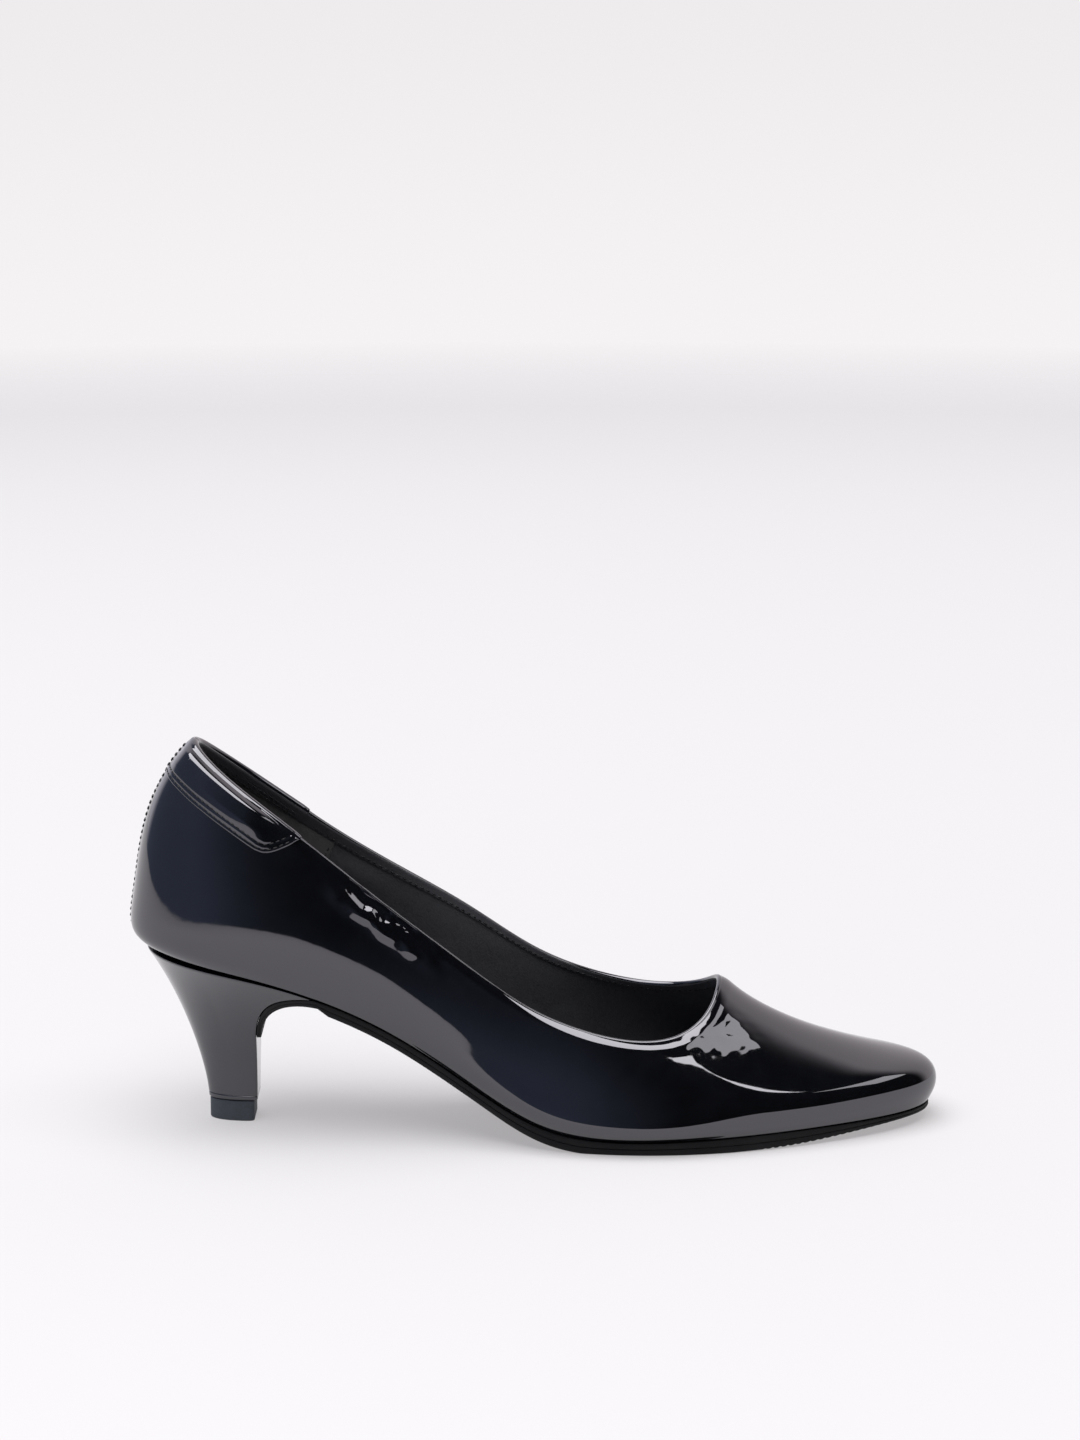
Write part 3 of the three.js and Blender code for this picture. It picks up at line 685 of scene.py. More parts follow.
    def even_sockets(self) -> None:
        """Sets what is the same all over the surface."""
        values = {
            "Metallic": self.finish.metal,
            "IOR": self.finish.ior,
            "Specular IOR Level": self.finish.specular,
            "Specular Tint": (*self.finish.tint, 1.0),
            "Sheen Weight": self.finish.sheen,
            "Sheen Roughness": self.finish.sheen_rough,
            "Coat Weight": self.finish.coat,
            "Coat Roughness": 0.05,
        }
        self.fill(self.surface, values)


PATENT = Finish(
    "black_patent", (0.0014, 0.0016, 0.0024), (0.0024, 0.0027, 0.0038),
    (0.02, 0.05), Pattern.GLOSS, 7.0, 0.012,
    ior=1.95, tint=(0.95, 0.93, 1.0),
)
PATCH_PATENT = Finish(
    "black_patent_patch", (0.0016, 0.0019, 0.003), (0.003, 0.0035, 0.005),
    (0.025, 0.06), Pattern.GLOSS, 4.0, 0.012,
    ior=1.95, tint=(0.95, 0.93, 1.0),
)
THREAD = Finish(
    "waxed_black_thread", (0.003, 0.003, 0.0036), (0.014, 0.014, 0.016),
    (0.45, 0.65), Pattern.TWIST, 0.32, 0.05,
    specular=0.35,
)
LINING = Finish(
    "black_kid_lining", (0.014, 0.014, 0.017), (0.03, 0.03, 0.035),
    (0.45, 0.65), Pattern.GRAIN, 0.45, 0.03,
    sheen=0.12,
)
TURNED_EDGE = Finish(
    "turned_edge_matte", (0.016, 0.016, 0.019), (0.034, 0.034, 0.04),
    (0.45, 0.62), Pattern.GRAIN, 0.5, 0.03,
    sheen=0.12,
)
NAPPED = Finish(
    "napped_heel_grip", (0.024, 0.023, 0.024), (0.075, 0.073, 0.076),
    (0.8, 1.0), Pattern.NAP, 0.35, 0.12,
    sheen=0.35, sheen_rough=0.5,
)
TAPE = Finish(
    "woven_reinforcing_tape", (0.5, 0.48, 0.42), (0.8, 0.78, 0.72),
    (0.75, 0.95), Pattern.WEAVE, 0.45, 0.08,
    sheen=0.2,
)
BOARD = Finish(
    "cellulose_board", (0.17, 0.11, 0.065), (0.34, 0.24, 0.15),
    (0.8, 0.95), Pattern.FIBRES, 0.8, 0.05,
)
STIFFENER = Finish(
    "fibre_stiffener", (0.36, 0.29, 0.2), (0.56, 0.47, 0.34),
    (0.75, 0.92), Pattern.FIBRES, 0.6, 0.06,
)
FOAM = Finish("latex_foam", (0.52, 0.42, 0.2), (0.76, 0.66, 0.4), (0.85, 1.0), Pattern.CELLS, 0.5, 0.1)
SOLE = Finish(
    "satin_black_outsole", (0.003, 0.003, 0.0036), (0.007, 0.007, 0.008),
    (0.45, 0.7), Pattern.SPECKLE, 0.35, 0.02,
    specular=0.2, wear=0.08,
)
LACQUER = Finish(
    "black_heel_lacquer", (0.005, 0.0055, 0.0085), (0.009, 0.0098, 0.014),
    (0.06, 0.15), Pattern.GLOSS, 5.0, 0.01,
    coat=0.3, ior=1.8, tint=(0.96, 0.94, 1.0),
)
RUBBER = Finish(
    "slate_top_piece", (0.024, 0.03, 0.038), (0.055, 0.066, 0.08),
    (0.5, 0.75), Pattern.SPECKLE, 0.3, 0.04,
    wear=0.4,
)
STEEL = Finish(
    "bright_steel", (0.42, 0.42, 0.43), (0.66, 0.66, 0.67),
    (0.2, 0.42), Pattern.BRUSHED, 0.3, 0.01, metal=1.0,
)


@dataclass(frozen=True)
class Maker:
    """Turns skins into pieces of the shoe."""

    last: Last

    def piece(
        self,
        name: str,
        skin: Skin,
        finish: Finish,
        slot: str,
        replaces: Sequence[str] = (),
        crease: float = 42.0,
        back: Finish | None = None,
    ) -> bpy.types.Object:
        """Makes a piece, dresses it and fixes it to the shoe.

        Args:
            name: The piece's name.
            skin: Its mesh.
            finish: What it is covered with.
            slot: Not used.
            replaces: The nodes that it stands for.
            crease: The angle, in degrees, from which an edge stays sharp.
            back: The finish of the faces that the skin marks as its back.

        Returns:
            The piece.
        """
        mesh = bpy.data.meshes.new(name)
        points = (skin.points + self.last.shift) * MM
        mesh.from_pydata(points.tolist(), [], skin.faces)
        mesh.materials.append(finish.build())
        if back:
            mesh.materials.append(back.build())
            marks = [1 if i in skin.backs else 0 for i in range(len(mesh.polygons))]
            mesh.polygons.foreach_set("material_index", marks)
        tidy = bmesh.new()
        tidy.from_mesh(mesh)
        bmesh.ops.remove_doubles(tidy, verts=tidy.verts, dist=1e-6)
        bmesh.ops.dissolve_degenerate(tidy, edges=tidy.edges, dist=1e-6)
        tidy.to_mesh(mesh)
        tidy.free()
        mesh.validate()
        mesh.polygons.foreach_set("use_smooth", [True] * len(mesh.polygons))
        mesh.set_sharp_from_angle(angle=math.radians(crease))
        made = bpy.data.objects.new(name, mesh)
        bpy.context.scene.collection.objects.link(made)
        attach(made, "root")
        if replaces:
            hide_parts(*replaces)
        LOG.info("%s: %d points in %s", name, len(mesh.vertices), finish.name)
        return made


# ---------------------------------------------------------------- the upper


@dataclass
class Waviness:
    """Slow unevenness of leather drawn over a last, as a sum of seeded ripples."""

    shortest: float
    longest: float
    ripples: int = 14
    seed: int = 7

    def at(self, points: np.ndarray) -> np.ndarray:
        """Gives the unevenness at points, about -1 to 1.

        Args:
            points: Where to read it.

        Returns:
            One value for each point.
        """
        draw = np.random.default_rng(self.seed)
        total = np.zeros(points.shape[:-1])
        for _ in range(self.ripples):
            way = unit(draw.normal(size=3))
            length = draw.uniform(self.shortest, self.longest)
            phase = draw.uniform(0, 2 * math.pi)
            total += np.sin(points @ way * (2 * math.pi / length) + phase)
        return total / math.sqrt(self.ripples)


@dataclass
class Collar:
    """The rolled topline: the wall, the roll over the edge and the strip turned down inside."""

    last: Last
    layers: Layers
    strip_at_heel: float = 0.5
    strip_at_vamp: float = 0.34

    def roll_start(self, u: np.ndarray) -> np.ndarray:
        """Gives the v where the wall turns over."""
        rise = np.linalg.norm(self.last.climb(u, np.full_like(u, 5.9)), axis=-1)
        return 6.0 - self.layers.roll / rise

    def strip_end(self, u: np.ndarray) -> np.ndarray:
        """Gives the v where the strip turned down inside ends."""
        wider = (self.strip_at_heel - self.strip_at_vamp) * smooth(self.last.from_seam(u), 6.0, 3.0)
        return self.roll_start(u) - (self.strip_at_vamp + wider)

    def wall_places(self, u: np.ndarray, low: np.ndarray, wall: int, crowd: float) -> np.ndarray:
        """Gives the v of the points of a path on the wall.

        Args:
            u: Places round the shoe.
            low: Where on the wall the path starts, for each place.
            wall: How many points lie on the wall.
            crowd: Above 1, they crowd towards its start; below 1, towards its end.

        Returns:
            The v, by place and along the path.
        """
        along = np.linspace(0, 1, wall)
        share = along**crowd if crowd >= 1 else 1 - (1 - along) ** (1 / crowd)
        return low[:, None] + (self.roll_start(u) - low)[:, None] * share[None]

    def path(
        self, u: np.ndarray, low: np.ndarray, wall: int, roll: int, strip: int, crowd: float = 1.0
    ) -> tuple[np.ndarray, np.ndarray]:
        """Follows the upper from low on the wall, over the topline and down the strip.

        Args:
            u: Places round the shoe.
            low: Where on the wall the path starts, for each place.
            wall: How many points lie on the wall.
            roll: How many lie on the roll.
            strip: How many lie on the strip.
            crowd: Above 1, the points of the wall crowd towards its start; below 1, towards its end.

        Returns:
            The points and their normals, by place and along the path.
        """
        start = self.roll_start(u)
        v_wall = self.wall_places(u, low, wall, crowd)
        u_wall = spread(u, v_wall)
        n_top = self.last.normal(u, start)
        up = unit(self.last.climb(u, start))
        middle = self.last.point(u, start) - n_top * self.layers.roll
        angle = np.linspace(0, math.pi, roll + 2)[1:-1]
        n_roll = circled(n_top, up, angle)
        v_strip = start[:, None] + (self.strip_end(u) - start)[:, None] * np.linspace(0, 1, strip)[None]
        u_strip = spread(u, v_strip)
        n_wall, n_strip = self.last.normal(u_wall, v_wall), self.last.normal(u_strip, v_strip)
        points = [
            self.last.point(u_wall, v_wall),
            middle[:, None] + n_roll * self.layers.roll,
            self.last.point(u_strip, v_strip) - n_strip * (2 * self.layers.roll),
        ]
        return np.concatenate(points, axis=1), np.concatenate([n_wall, n_roll, -n_strip], axis=1)


@dataclass
class PatchEdge:
    """Where the collar patch ends: its lower edge, and its turn up to the topline."""

    last: Last
    collar: Collar
    knots: tuple[tuple[float, float], ...] = (
        (0.0, 4.68), (0.7, 4.676), (1.2, 4.66), (1.8, 4.613), (2.2, 4.558), (2.45, 4.512), (2.56, 4.5),
        (2.65, 4.55), (2.72, 4.69), (2.78, 4.9), (2.86, 5.3), (2.905, 5.66), (2.93, 5.86),
    )
    seam: float = 0.014
    end: float = 2.93

    def low(self, u: np.ndarray) -> np.ndarray:
        """Gives the v of the lower edge at u, counted from the back seam.

        Args:
            u: Places round the collar.

        Returns:
            The v of each.
        """
        fine = np.linspace(-0.2, 3.1, 1320)
        table = np.array(self.knots)
        rough = np.interp(np.abs(fine), table[:, 0], table[:, 1])
        kernel = bell(np.linspace(-2, 2, 29), 0.0, 1.0)
        eased = np.convolve(rough, kernel / kernel.sum(), mode="same")
        return np.minimum(np.interp(u, fine, eased), self.collar.roll_start(u) - 0.01)

    def places(self) -> np.ndarray:
        """Gives places from the seam to the end, closer together where the edge is round.

        Returns:
            The places, in spokes.
        """
        return np.concatenate(
            [
                [self.seam, 0.02, 0.03, 0.042, 0.058, 0.08, 0.11],
                np.linspace(0.15, 2.5, 64),
                np.linspace(2.525, 2.89, 34),
                [2.903, 2.913, 2.921, 2.927, self.end],
            ]
        )


@dataclass
class Upper:
    """The vamp and quarters, the two collar patches and the stitching on them."""

    maker: Maker
    layers: Layers
    seam_groove: float = 0.42
    stitch_length: float = 1.42
    stitch_pitch: float = 1.95
    seam_stitch: float = 0.3
    patch_thick: float = 0.44
    patch_lift: float = 0.05
    puff: float = 1.7
    curl: float = 0.7
    curl_high: float = 3.2
    fullness: float = 2.0
    fold_deep: float = 1.8
    wall_rows: int = 84
    spots_round: int = 540
    waist: tuple[float, ...] = (4.15, 0.75, 4.95, 0.75)
    joint: tuple[float, ...] = (8.8, 0.8, 5.1, 0.6)
    fold_high: float = 4.8
    row_insets: tuple[float, float] = (0.95, 2.5)
    seam_row_away: float = 0.62
    seam_row_pitch: float = 1.9
    seam_row_length: float = 1.35
    strip_row_pitch: float = 2.1
    strip_row_length: float = 1.4
    foot_inset: float = 0.6
    feather: float = 0.12
    crowd: float = 0.6
    roll_points: int = 12
    strip_points: int = 9
    patch_wall: int = 52
    patch_roll: int = 14
    patch_strip: int = 12
    patch_crowd: float = 1.5
    margin: float = 11.0
    toe_margin: float = 7.0
    last: Last = field(init=False)
    collar: Collar = field(init=False)
    edge: PatchEdge = field(init=False)

    def __post_init__(self) -> None:
        """Finds the collar and the edge of the patches."""
        self.last = self.maker.last
        self.collar = Collar(self.last, self.layers)
        self.edge = PatchEdge(self.last, self.collar)

    def creases(self, u: np.ndarray, v: np.ndarray, points: np.ndarray) -> np.ndarray:
        """Gives the unevenness of the leather: slow all over, and finer where it is drawn in at the waist.

        Args:
            u: Places round the shoe, in spokes.
            v: Places up the wall.
            points: The points of the last at those places.

        Returns:
            How far each point stands out.
        """
        waist = bell(u, *self.waist[:2]) * bell(v, *self.waist[2:])
        joint = bell(u, *self.joint[:2]) * bell(v, *self.joint[2:])
        fine = Waviness(4.5, 10.0, seed=11).at(points * np.array([1.0, 1.0, 1.6]))
        ragged = Waviness(2.2, 4.4, seed=23).at(points * np.array([1.0, 1.0, 1.8]))
        slow = Waviness(16.0, 34.0, seed=5).at(points)
        drawn = (0.5 * waist + 0.7 * joint) * (0.1 * fine + 0.02 * ragged)
        return 0.03 * slow + drawn + self.fold(u, v, points)

    def fold(self, u: np.ndarray, v: np.ndarray, points: np.ndarray) -> np.ndarray:
        """Gives the short, ragged folds under the topline at the waist, where the quarter is drawn in.

        Args:
            u: Places round the shoe, in spokes.
            v: Places up the wall.
            points: The points of the last at those places.

        Returns:
            How far each point stands out.
        """
        below = (6.0 - v) * self.rise(u)
        ragged = Waviness(5.0, 13.0, seed=31).at(points) + 0.25 * Waviness(2.0, 4.0, seed=37).at(points)
        middle = 5.2 + 0.6 * ragged
        drop = smooth(below, middle + self.fold_high / 2, middle - self.fold_high / 2)
        along = smooth(u, 3.3, 3.62) * smooth(u, 4.75, 4.2) * (0.85 + 0.3 * ragged)
        band = smooth(below, 11.0, 6.0) * smooth(below, 0.3, 2.6)
        return self.fold_deep * along * (0.5 - drop) * band

    def rise(self, u: np.ndarray) -> np.ndarray:
        """Gives how many millimetres one unit of v is worth under the topline."""
        return np.linalg.norm(self.last.climb(u, np.full_like(u, 5.9)), axis=-1)

    def settled(self, u: np.ndarray, v: np.ndarray) -> np.ndarray:
        """Gives how the wall differs from the last: fuller low down, and curled in under the topline.

        Args:
            u: Places round the shoe, in spokes.
            v: Places up the wall.

        Returns:
            How far each point stands out.
        """
        side = self.last.from_seam(u)
        along = smooth(side, 3.6, 6.2) * smooth(side, 8.2, 6.8)
        full = bell(v, 1.2, 0.85) * along * smooth(v, 0.1, 0.5)
        below = (self.collar.roll_start(u[:, 0])[:, None] - v) * self.rise(u[:, :1])
        curled = np.clip(1 - below / self.curl_high, 0, 1) ** 2 * smooth(side, 2.6, 3.1)
        return self.fullness * full - self.curl * curled

    def seam_shape(self, u: np.ndarray, points: np.ndarray) -> np.ndarray:
        """Gives the relief of the back seam: a groove between two turned edges, drawn in by the stitches.

        Args:
            u: Places round the shoe, in spokes.
            points: The points of the last at those places.

        Returns:
            How far each point stands out.
        """
        away = self.last.from_seam(u) * self.last.seam_spoke
        groove = -self.seam_groove * bell(away, 0.0, 0.34)
        lip = 0.18 * bell(away, 1.0, 0.5)
        pull = 0.09 * np.cos(points[..., 2] * (2 * math.pi / self.stitch_pitch))
        return groove + lip + pull * bell(away, 1.0, 0.6)

    def build_upper(self) -> bpy.types.Object:
        """Builds the vamp and quarters as one ring, lasted under the insole.

        Returns:
            The piece.
        """
        last, layers = self.last, self.layers
        near = np.array([0.006, 0.014, 0.024, 0.036, 0.052, 0.075, 0.105])
        wide = np.linspace(0.15, last.spokes - 0.15, self.spots_round)
        u = np.concatenate([[0.0], near, wide, last.spokes - near[::-1]])
        margin = self.toe_margin + (self.margin - self.toe_margin) * smooth(last.from_toe(u), 1.5, 3.5)
        low = np.full_like(u, self.feather)
        wall, roll = self.wall_rows, self.roll_points
        points, normals = self.collar.path(u, low, wall, roll, self.strip_points, crowd=self.crowd)
        v_wall = self.collar.wall_places(u, low, wall, self.crowd)
        wall_u = spread(u, v_wall)
        relief = np.zeros(points.shape[:2])
        relief[:, :wall] = self.creases(wall_u, v_wall, points[:, :wall]) + self.settled(wall_u, v_wall)
        relief[:, wall : wall + roll] = relief[:, wall - 1 : wall] * np.linspace(1, 0, roll)[None]
        relief[:, : wall + roll] += self.seam_shape(wall_u[:, :1], points[:, : wall + roll])
        points = points + normals * relief[..., None]
        corner = last.on_bottom(u, 0.0, 0.0)
        foot = last.on_bottom(u, self.foot_inset, 0.0)
        turn = np.linspace(0, 1, 9)[:-1][None, :, None]
        start = points[:, 0]
        under = bent(foot[:, None], corner[:, None], start[:, None], turn)
        flat = [last.on_bottom(u, margin * share, 0.0)[:, None] for share in (1.0, 0.6, 0.3)]
        inside = [last.on_bottom(u, margin * share, layers.upper)[:, None] for share in (0.3, 0.6, 1.0)]
        top = self.collar.roll_start(u)
        n_top, up = last.normal(u, top), unit(last.climb(u, top))
        strip_end = self.collar.strip_end(u)
        strip_back = strip_end[:, None] + (top - strip_end)[:, None] * np.linspace(0, 1, 5)
        u_back = spread(u, strip_back)
        deep = 2 * layers.roll - layers.strip
        back = last.under(u_back, strip_back, deep)
        half = (deep - layers.upper) / 2
        middle = last.point(u, top) - n_top * (layers.upper + half)
        angle = np.linspace(math.pi, 0, 7)[1:-1]
        arc = middle[:, None] + half * circled(n_top, up, angle)
        v_in = top[:, None] + (0.3 - top)[:, None] * np.linspace(0, 1, 24)[None]
        inner = last.under(spread(u, v_in), v_in, layers.upper)
        sections = np.concatenate([*flat, under, points, back, arc, inner, *inside], axis=1)
        strip = len(flat) + under.shape[1] + wall + roll - 2
        strip_stop = strip + self.strip_points + back.shape[1] + 2
        return self.maker.piece(
            "vamp_and_quarters_patent",
            Skin.swept(sections, ring=True, back=(strip, strip_stop)),
            PATENT,
            "patent",
            ["vamp_and_quarters"],
            back=TURNED_EDGE,
        )

    def rim(self) -> np.ndarray:
        """Gives the edge of a patch on the outer side, as points along it.

        Returns:
            The points.
        """
        u = np.linspace(self.edge.seam, self.edge.end, 900)
        lower = self.last.point(u, self.edge.low(u))
        over, _ = self.collar.path(u[-1:], self.edge.low(u[-1:]), 4, 14, 9)
        return np.concatenate([lower, over[0]])

    def patch_height(
        self, u: np.ndarray, v: np.ndarray, points: np.ndarray, rim: np.ndarray
    ) -> np.ndarray:
        """Gives how far a patch stands off the upper.

        Args:
            u: The place of each point round the collar, counted from the back seam.
            v: The place of each point up the wall; beyond the topline it is 6.
            points: The points of the upper under the patch.
            rim: The edge of the patch.

        Returns:
            The thickness at each point.
        """
        away = np.full(points.shape[:-1], 1e9)
        for chunk in np.array_split(rim, 24):
            gap = np.linalg.norm(points[..., None, :] - chunk, axis=-1).min(axis=-1)
            away = np.minimum(away, gap)
        turned = np.clip(np.minimum(away / 0.75, (u - self.edge.seam) * self.last.seam_spoke / 0.38), 0, 1)
        height = self.patch_thick * np.sqrt(np.maximum(1 - (1 - turned) ** 2, 0))
        for inset in self.row_insets:
            height -= 0.1 * bell(away, inset, 0.4)
        along = smooth(u, 0.2, 1.1) * smooth(u, 2.85, 2.3)
        swell = 0.3 * smooth(away, 0.5, 5.2) + 0.7 * np.clip((away - 0.7) / 4.2, 0, 1)
        height += self.puff * swell * along * smooth(v, 6.04, 5.62)
        beyond = 0.1 + 0.15 * smooth(away, 0.3, 2.6)
        over = np.minimum(height, beyond * np.minimum(turned * 2, 1))
        return np.where(v > 5.97, over, np.maximum(height, 0.0))

    def build_patches(self) -> list[bpy.types.Object]:
        """Builds the patch of each side of the collar, folded over the topline.

        Returns:
            The outer and the inner patch.
        """
        u = self.edge.places()
        low = self.edge.low(u)
        made = []
        wall, roll, strip = self.patch_wall, self.patch_roll, self.patch_strip
        points, normals = self.collar.path(u, low, wall, roll, strip, crowd=self.patch_crowd)
        wall_v = self.collar.wall_places(u, low, wall, self.patch_crowd)
        v = np.concatenate([wall_v, np.full((len(u), roll + strip), 6.0)], axis=1)
        height = self.patch_height(spread(u, v), v, points, self.rim())
        blend = np.linspace(0, 1, 8)[None]
        step = height[:, wall : wall + 1] - height[:, wall - 1 : wall]
        height[:, wall - 8 : wall] += step * blend
        height[:, -strip:] *= np.clip(np.linspace(1, 0, strip) ** 0.5 * 1.8, 0, 1)
        for side, name in ((1, "outer_side"), (-1, "inner_side")):
            if side < 0:
                there = self.last.spokes - u
                points, normals = self.collar.path(there, low, wall, roll, strip, crowd=self.patch_crowd)
            ripple = np.sin(points[..., 0] * 0.9 + points[..., 2] * 0.6) * 0.012
            outer = points + normals * (self.patch_lift + height + ripple * (height > 0.5))[..., None]
            inner = points + normals * (self.patch_lift * 0.5)
            sections = np.concatenate([outer, inner[:, ::-1]], axis=1)
            made.append(
                self.maker.piece(
                    f"collar_patch_{name}_patent",
                    Skin.swept(sections, back=(wall + roll - 3, wall + roll + strip)),
                    PATCH_PATENT,
                    "patent",
                    [f"collar_patch_{name}"],
                    back=TURNED_EDGE,
                )
            )
        return made

    def stitches(
        self, points: np.ndarray, normals: np.ndarray, pitch: float, length: float, thick: float = 0.2
    ) -> Skin:
        """Lays short stitches along a line.

        Args:
            points: The line, closely spaced.
            normals: The way out of the leather along it.
            pitch: From one stitch to the next.
            length: How long each stitch is.
            thick: The radius of the thread.

        Returns:
            The stitches.
        """
        steps = np.linalg.norm(np.diff(points, axis=0), axis=1)
        run = np.concatenate([[0.0], np.cumsum(steps)])
        count = max(int((run[-1] - length) / pitch), 1)
        places = (run[-1] - (count - 1) * pitch) / 2 + pitch * np.arange(count)
        lean = np.array([-1.0, -0.93, -0.7, -0.35, 0.0, 0.35, 0.7, 0.93, 1.0])
        fat = np.array([0.12, 0.5, 0.86, 1.0, 1.04, 1.0, 0.86, 0.5, 0.12])
        ring = np.linspace(0, 2 * math.pi, 11)[:-1]
        skins = []
        for place in places:
            spots = place + lean * length / 2
            line = np.stack([np.interp(spots, run, points[:, k]) for k in range(3)], axis=1)
            out = unit(np.stack([np.interp(spots, run, normals[:, k]) for k in range(3)], axis=1))
            way = unit(np.gradient(line, axis=0))
            across = unit(np.cross(way, out))
            sink = thick * (0.15 - 0.75 * lean**4)
            line = line + out * sink[:, None]
            radius = (fat * thick)[:, None, None]
            skins.append(Skin.swept(line[:, None] + radius * circled(out, across, ring)))
        return Skin.joined(skins)

    def patch_rows(self, side: int) -> Skin:
        """Lays the two rows of stitches inside the edge of a patch.

        Args:
            side: 1 for the outer side, -1 for the inner.

        Returns:
            The stitches of both rows.
        """
        u = np.linspace(0.07, 2.9, 700)
        v = self.edge.low(u)
        rim = self.rim()
        rows = []
        for inset in self.row_insets:
            spots = self.last.point(u, v)
            way = unit(np.gradient(spots, axis=0))
            normal = self.last.normal(u, v)
            inwards = np.cross(normal, way)
            along, climb = self.last.along(u, v), self.last.climb(u, v)
            downwards = np.sum(inwards * climb, axis=1) < 0
            inwards = np.where(downwards[:, None], -inwards, inwards)
            base = np.stack([along, climb], axis=2)
            moves = np.einsum("nij,nj->ni", np.linalg.pinv(base), inwards * inset)
            line_u, line_v = u + moves[:, 0], v + moves[:, 1]
            keep = (line_v < self.collar.roll_start(line_u)) & (line_u > 0.06)
            line_u, line_v = line_u[keep], line_v[keep]
            flat = self.last.point(line_u, line_v)
            height = self.patch_height(line_u, line_v, flat, rim)
            where = line_u if side > 0 else self.last.spokes - line_u
            normals = self.last.normal(where, line_v)
            line = self.last.point(where, line_v) + normals * (self.patch_lift + height)[:, None]
            rows.append(self.stitches(line, normals, self.stitch_pitch, self.stitch_length))
        return Skin.joined(rows)

    def seam_rows(self) -> Skin:
        """Lays a row of stitches down each side of the back seam.

        Returns:
            The stitches of both rows.
        """
        rows = []
        away = self.seam_row_away / self.last.seam_spoke
        for side in (1, -1):
            u = np.full(400, away)
            where = u if side > 0 else self.last.spokes - u
            start = self.collar.roll_start(where[:1])[0]
            v = np.linspace(0.35, start, 400)
            points, normals = self.last.point(where, v), self.last.normal(where, v)
            lift = self.seam_shape(u, points)
            covered = smooth(v, 4.66, 4.74)
            edge = self.patch_lift + self.patch_height(u, v, self.last.point(u, v), self.rim())
            lift = lift * (1 - covered) + edge * covered
            rows.append(
                self.stitches(
                    points + normals * lift[:, None],
                    normals,
                    self.seam_row_pitch,
                    self.seam_row_length,
                    self.seam_stitch,
                )
            )
        return Skin.joined(rows)

    def strip_rows(self) -> Skin:
        """Lays the stitches that hold the strip turned down inside the topline.

        Returns:
            The stitches of all the rows.
        """
        rows = []
        for share, start, end in ((0.22, 3.02, 18.98), (0.22, -2.86, 2.86), (0.55, -2.86, 2.86)):
            u = np.linspace(start, end, 1600)
            end_v, top = self.collar.strip_end(u), self.collar.roll_start(u)
            v = end_v + (top - end_v) * share
            normals = -self.last.normal(u, v)
            proud = 0.38 if end < 3 else 0.0
            line = self.last.point(u, v) + normals * (2 * self.layers.roll + proud)
            rows.append(self.stitches(line, normals, self.strip_row_pitch, self.strip_row_length))
        return Skin.joined(rows)

    def build(self) -> None:
        """Builds every piece of the upper."""
        self.build_upper()
        self.build_patches()
        self.maker.piece("stitches_patch_outer_side", self.patch_rows(1), THREAD, "patent")
        self.maker.piece("stitches_patch_inner_side", self.patch_rows(-1), THREAD, "patent")
        self.maker.piece("stitches_back_seam", self.seam_rows(), THREAD, "patent")
        self.maker.piece("stitches_topline", self.strip_rows(), THREAD, "patent")


# ---------------------------------------------------------------- inside


